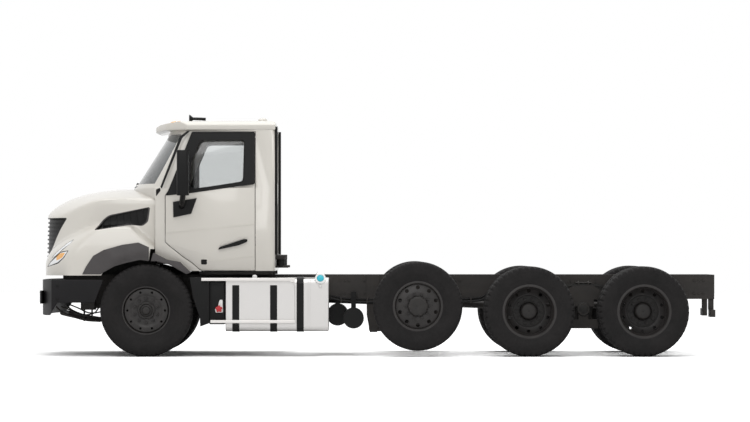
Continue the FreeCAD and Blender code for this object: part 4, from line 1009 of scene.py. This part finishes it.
def buildUnderBumper():
    # anti-roll bar, its links, and air pipes hanging between the bumper's ends
    bar = curve([(2.98, 0.475, 0.5), (3.2, 0.475, 0.47), (3.48, 0.5, 0.43), (3.86, 0.48, 0.5),
                 (3.92, 0.36, 0.52), (3.92, 0.0, 0.52)], 60)
    pipe = curve([(3.96, 0.7, 0.6), (3.86, 0.7, 0.52), (3.62, 0.68, 0.44), (3.42, 0.64, 0.42)], 40)
    thin = curve([(3.9, 0.66, 0.6), (3.8, 0.66, 0.56), (3.66, 0.64, 0.5), (3.5, 0.62, 0.52),
                  (3.42, 0.62, 0.62)], 40)
    parts = [tube(bar, 0.02, 0, 12), tube(pipe, 0.012), tube(thin, 0.009),
             tube([(3.62, 0.6, 0.42), (3.62, 0.6, 0.5), (3.62, 0.58, 0.7)], 0.011),
             block((3.48, 0.5, 0.56), (3.66, 0.66, 0.68), 0, 0.012)]
    place("underBumper", parts + flipParts(parts), [chassis], "chassis")


def buildBumperDetail():
    # a centre intake with bars, and near each front corner a lamp slot, its bright lamp and two bolts
    bars = [block((4.128, -0.42, z), (4.149, 0.42, z + 0.026), 0, 0.005) for z in (0.58, 0.64, 0.7)]
    boltHead = [(0, 0.0005), (0, 0.022), (0.006, 0.018), (0.008, 0.0005)]
    corner = [block((4.1, 0.78, 0.64), (4.133, 0.95, 0.8), 0, 0.01),
              block((4.12, 0.8, 0.66), (4.139, 0.93, 0.78), 1, 0.01)]
    corner += [turned(boltHead, (3.9, 1.178, z), (0, 1, 0), 0, 20) for z in (0.86, 0.7)]
    place("bumperFittings", bars + corner + flipParts(corner), [blackPlastic, lens], "chassis")


pressPanels()
buildCab()
buildSeats()
buildTank()
buildSwitch()
buildChassisDetail()
buildUnderBumper()
buildBumperDetail()
print("cab, tank and chassis detail made")


# floorWhite: seen by the camera the floor is bright enough to be white wherever the truck doesn't shade it
studio = {"floorHalf": 60.0, "floorWhite": 1.4, "skyStrength": (0.2, 1.05), "skyTop": 0.9,
          "lights": (("key", (3, 14, 11), 10, 620.0), ("top", (0, 0, 12), 12, 700.0))}


def buildFloor():
    half, white = studio["floorHalf"], studio["floorWhite"]
    mesh = bpy.data.meshes.new("floor")
    mesh.from_pydata([(-half, -half, 0), (half, -half, 0), (half, half, 0), (-half, half, 0)], [],
                     [(0, 1, 2, 3)])
    floor = bpy.data.objects.new("floor", mesh)
    bpy.context.collection.objects.link(floor)
    mat, tree, bsdf = newMaterial("paintedStudioFloor", "#e6e6e6", 0.9)
    path = addNode(tree, "ShaderNodeLightPath")
    bright = addNode(tree, "ShaderNodeBsdfDiffuse", {"Color": (white, white, white, 1)})
    choose = addNode(tree, "ShaderNodeMixShader", links={
        0: path.outputs["Is Camera Ray"], 1: bsdf.outputs["BSDF"], 2: bright.outputs["BSDF"]})
    tree.links.new(choose.outputs["Shader"], tree.nodes["Material Output"].inputs["Surface"])
    mesh.materials.append(mat)


def buildWorld():
    # white to the camera and in reflections; what lights the truck is brightest overhead
    world = bpy.data.worlds.new("studio")
    bpy.context.scene.world = world
    world.use_nodes = True
    tree = world.node_tree
    path = addNode(tree, "ShaderNodeLightPath").outputs
    seen = path["Is Camera Ray"]
    for ray in ("Is Glossy Ray", "Is Transmission Ray"):
        seen = addNode(tree, "ShaderNodeMath", {"operation": "MAXIMUM"},
                       {0: seen, 1: path[ray]}).outputs[0]
    sky = addNode(tree, "ShaderNodeTexCoord")
    height = addNode(tree, "ShaderNodeSeparateXYZ", links={0: sky.outputs["Generated"]})
    low, high = studio["skyStrength"]
    glow = addNode(tree, "ShaderNodeMapRange", {"From Max": studio["skyTop"], "To Min": low,
                                                "To Max": high},
                   {"Value": height.outputs["Z"]})
    level = addNode(tree, "ShaderNodeMapRange", links={"Value": seen, "To Min": glow.outputs["Result"]})
    back = tree.nodes["Background"]
    back.inputs["Color"].default_value = (1, 1, 1, 1)
    tree.links.new(level.outputs["Result"], back.inputs["Strength"])


def buildLights():
    # a wide key from the camera's side and a top light, both aimed at the truck's middle
    for name, spot, size, energy in studio["lights"]:
        light = bpy.data.lights.new(name, "AREA")
        light.size, light.energy = size, energy
        lamp = bpy.data.objects.new(name, light)
        lamp.location = spot
        lamp.rotation_mode = "QUATERNION"
        lamp.rotation_quaternion = (-Vector(spot)).to_track_quat("-Z", "Y")
        bpy.context.collection.objects.link(lamp)
    bpy.context.scene.view_settings.view_transform = "Standard"


# eye height 1.27 m, 41 m off the truck's middle, long lens; the shifts are shares of the picture's width
view = {"x": 0.292, "y": 41.2, "z": 1.27, "lensPerSensor": 3302.0 / 750, "across": 20 / 750,
        "up": 41.0 / 750}


def buildCamera():
    cam = bpy.data.cameras.new("camera")
    cam.sensor_width = 36.0
    cam.lens = view["lensPerSensor"] * cam.sensor_width
    cam.shift_x, cam.shift_y = view["across"], view["up"]
    cam.clip_end = 300
    eye = bpy.data.objects.new("camera", cam)
    eye.location = (view["x"], view["y"], view["z"])
    eye.rotation_euler = (pi / 2, 0, pi)
    bpy.context.collection.objects.link(eye)
    bpy.context.scene.camera = eye


buildFloor()
buildWorld()
buildLights()
buildCamera()
print("stage and camera ready")
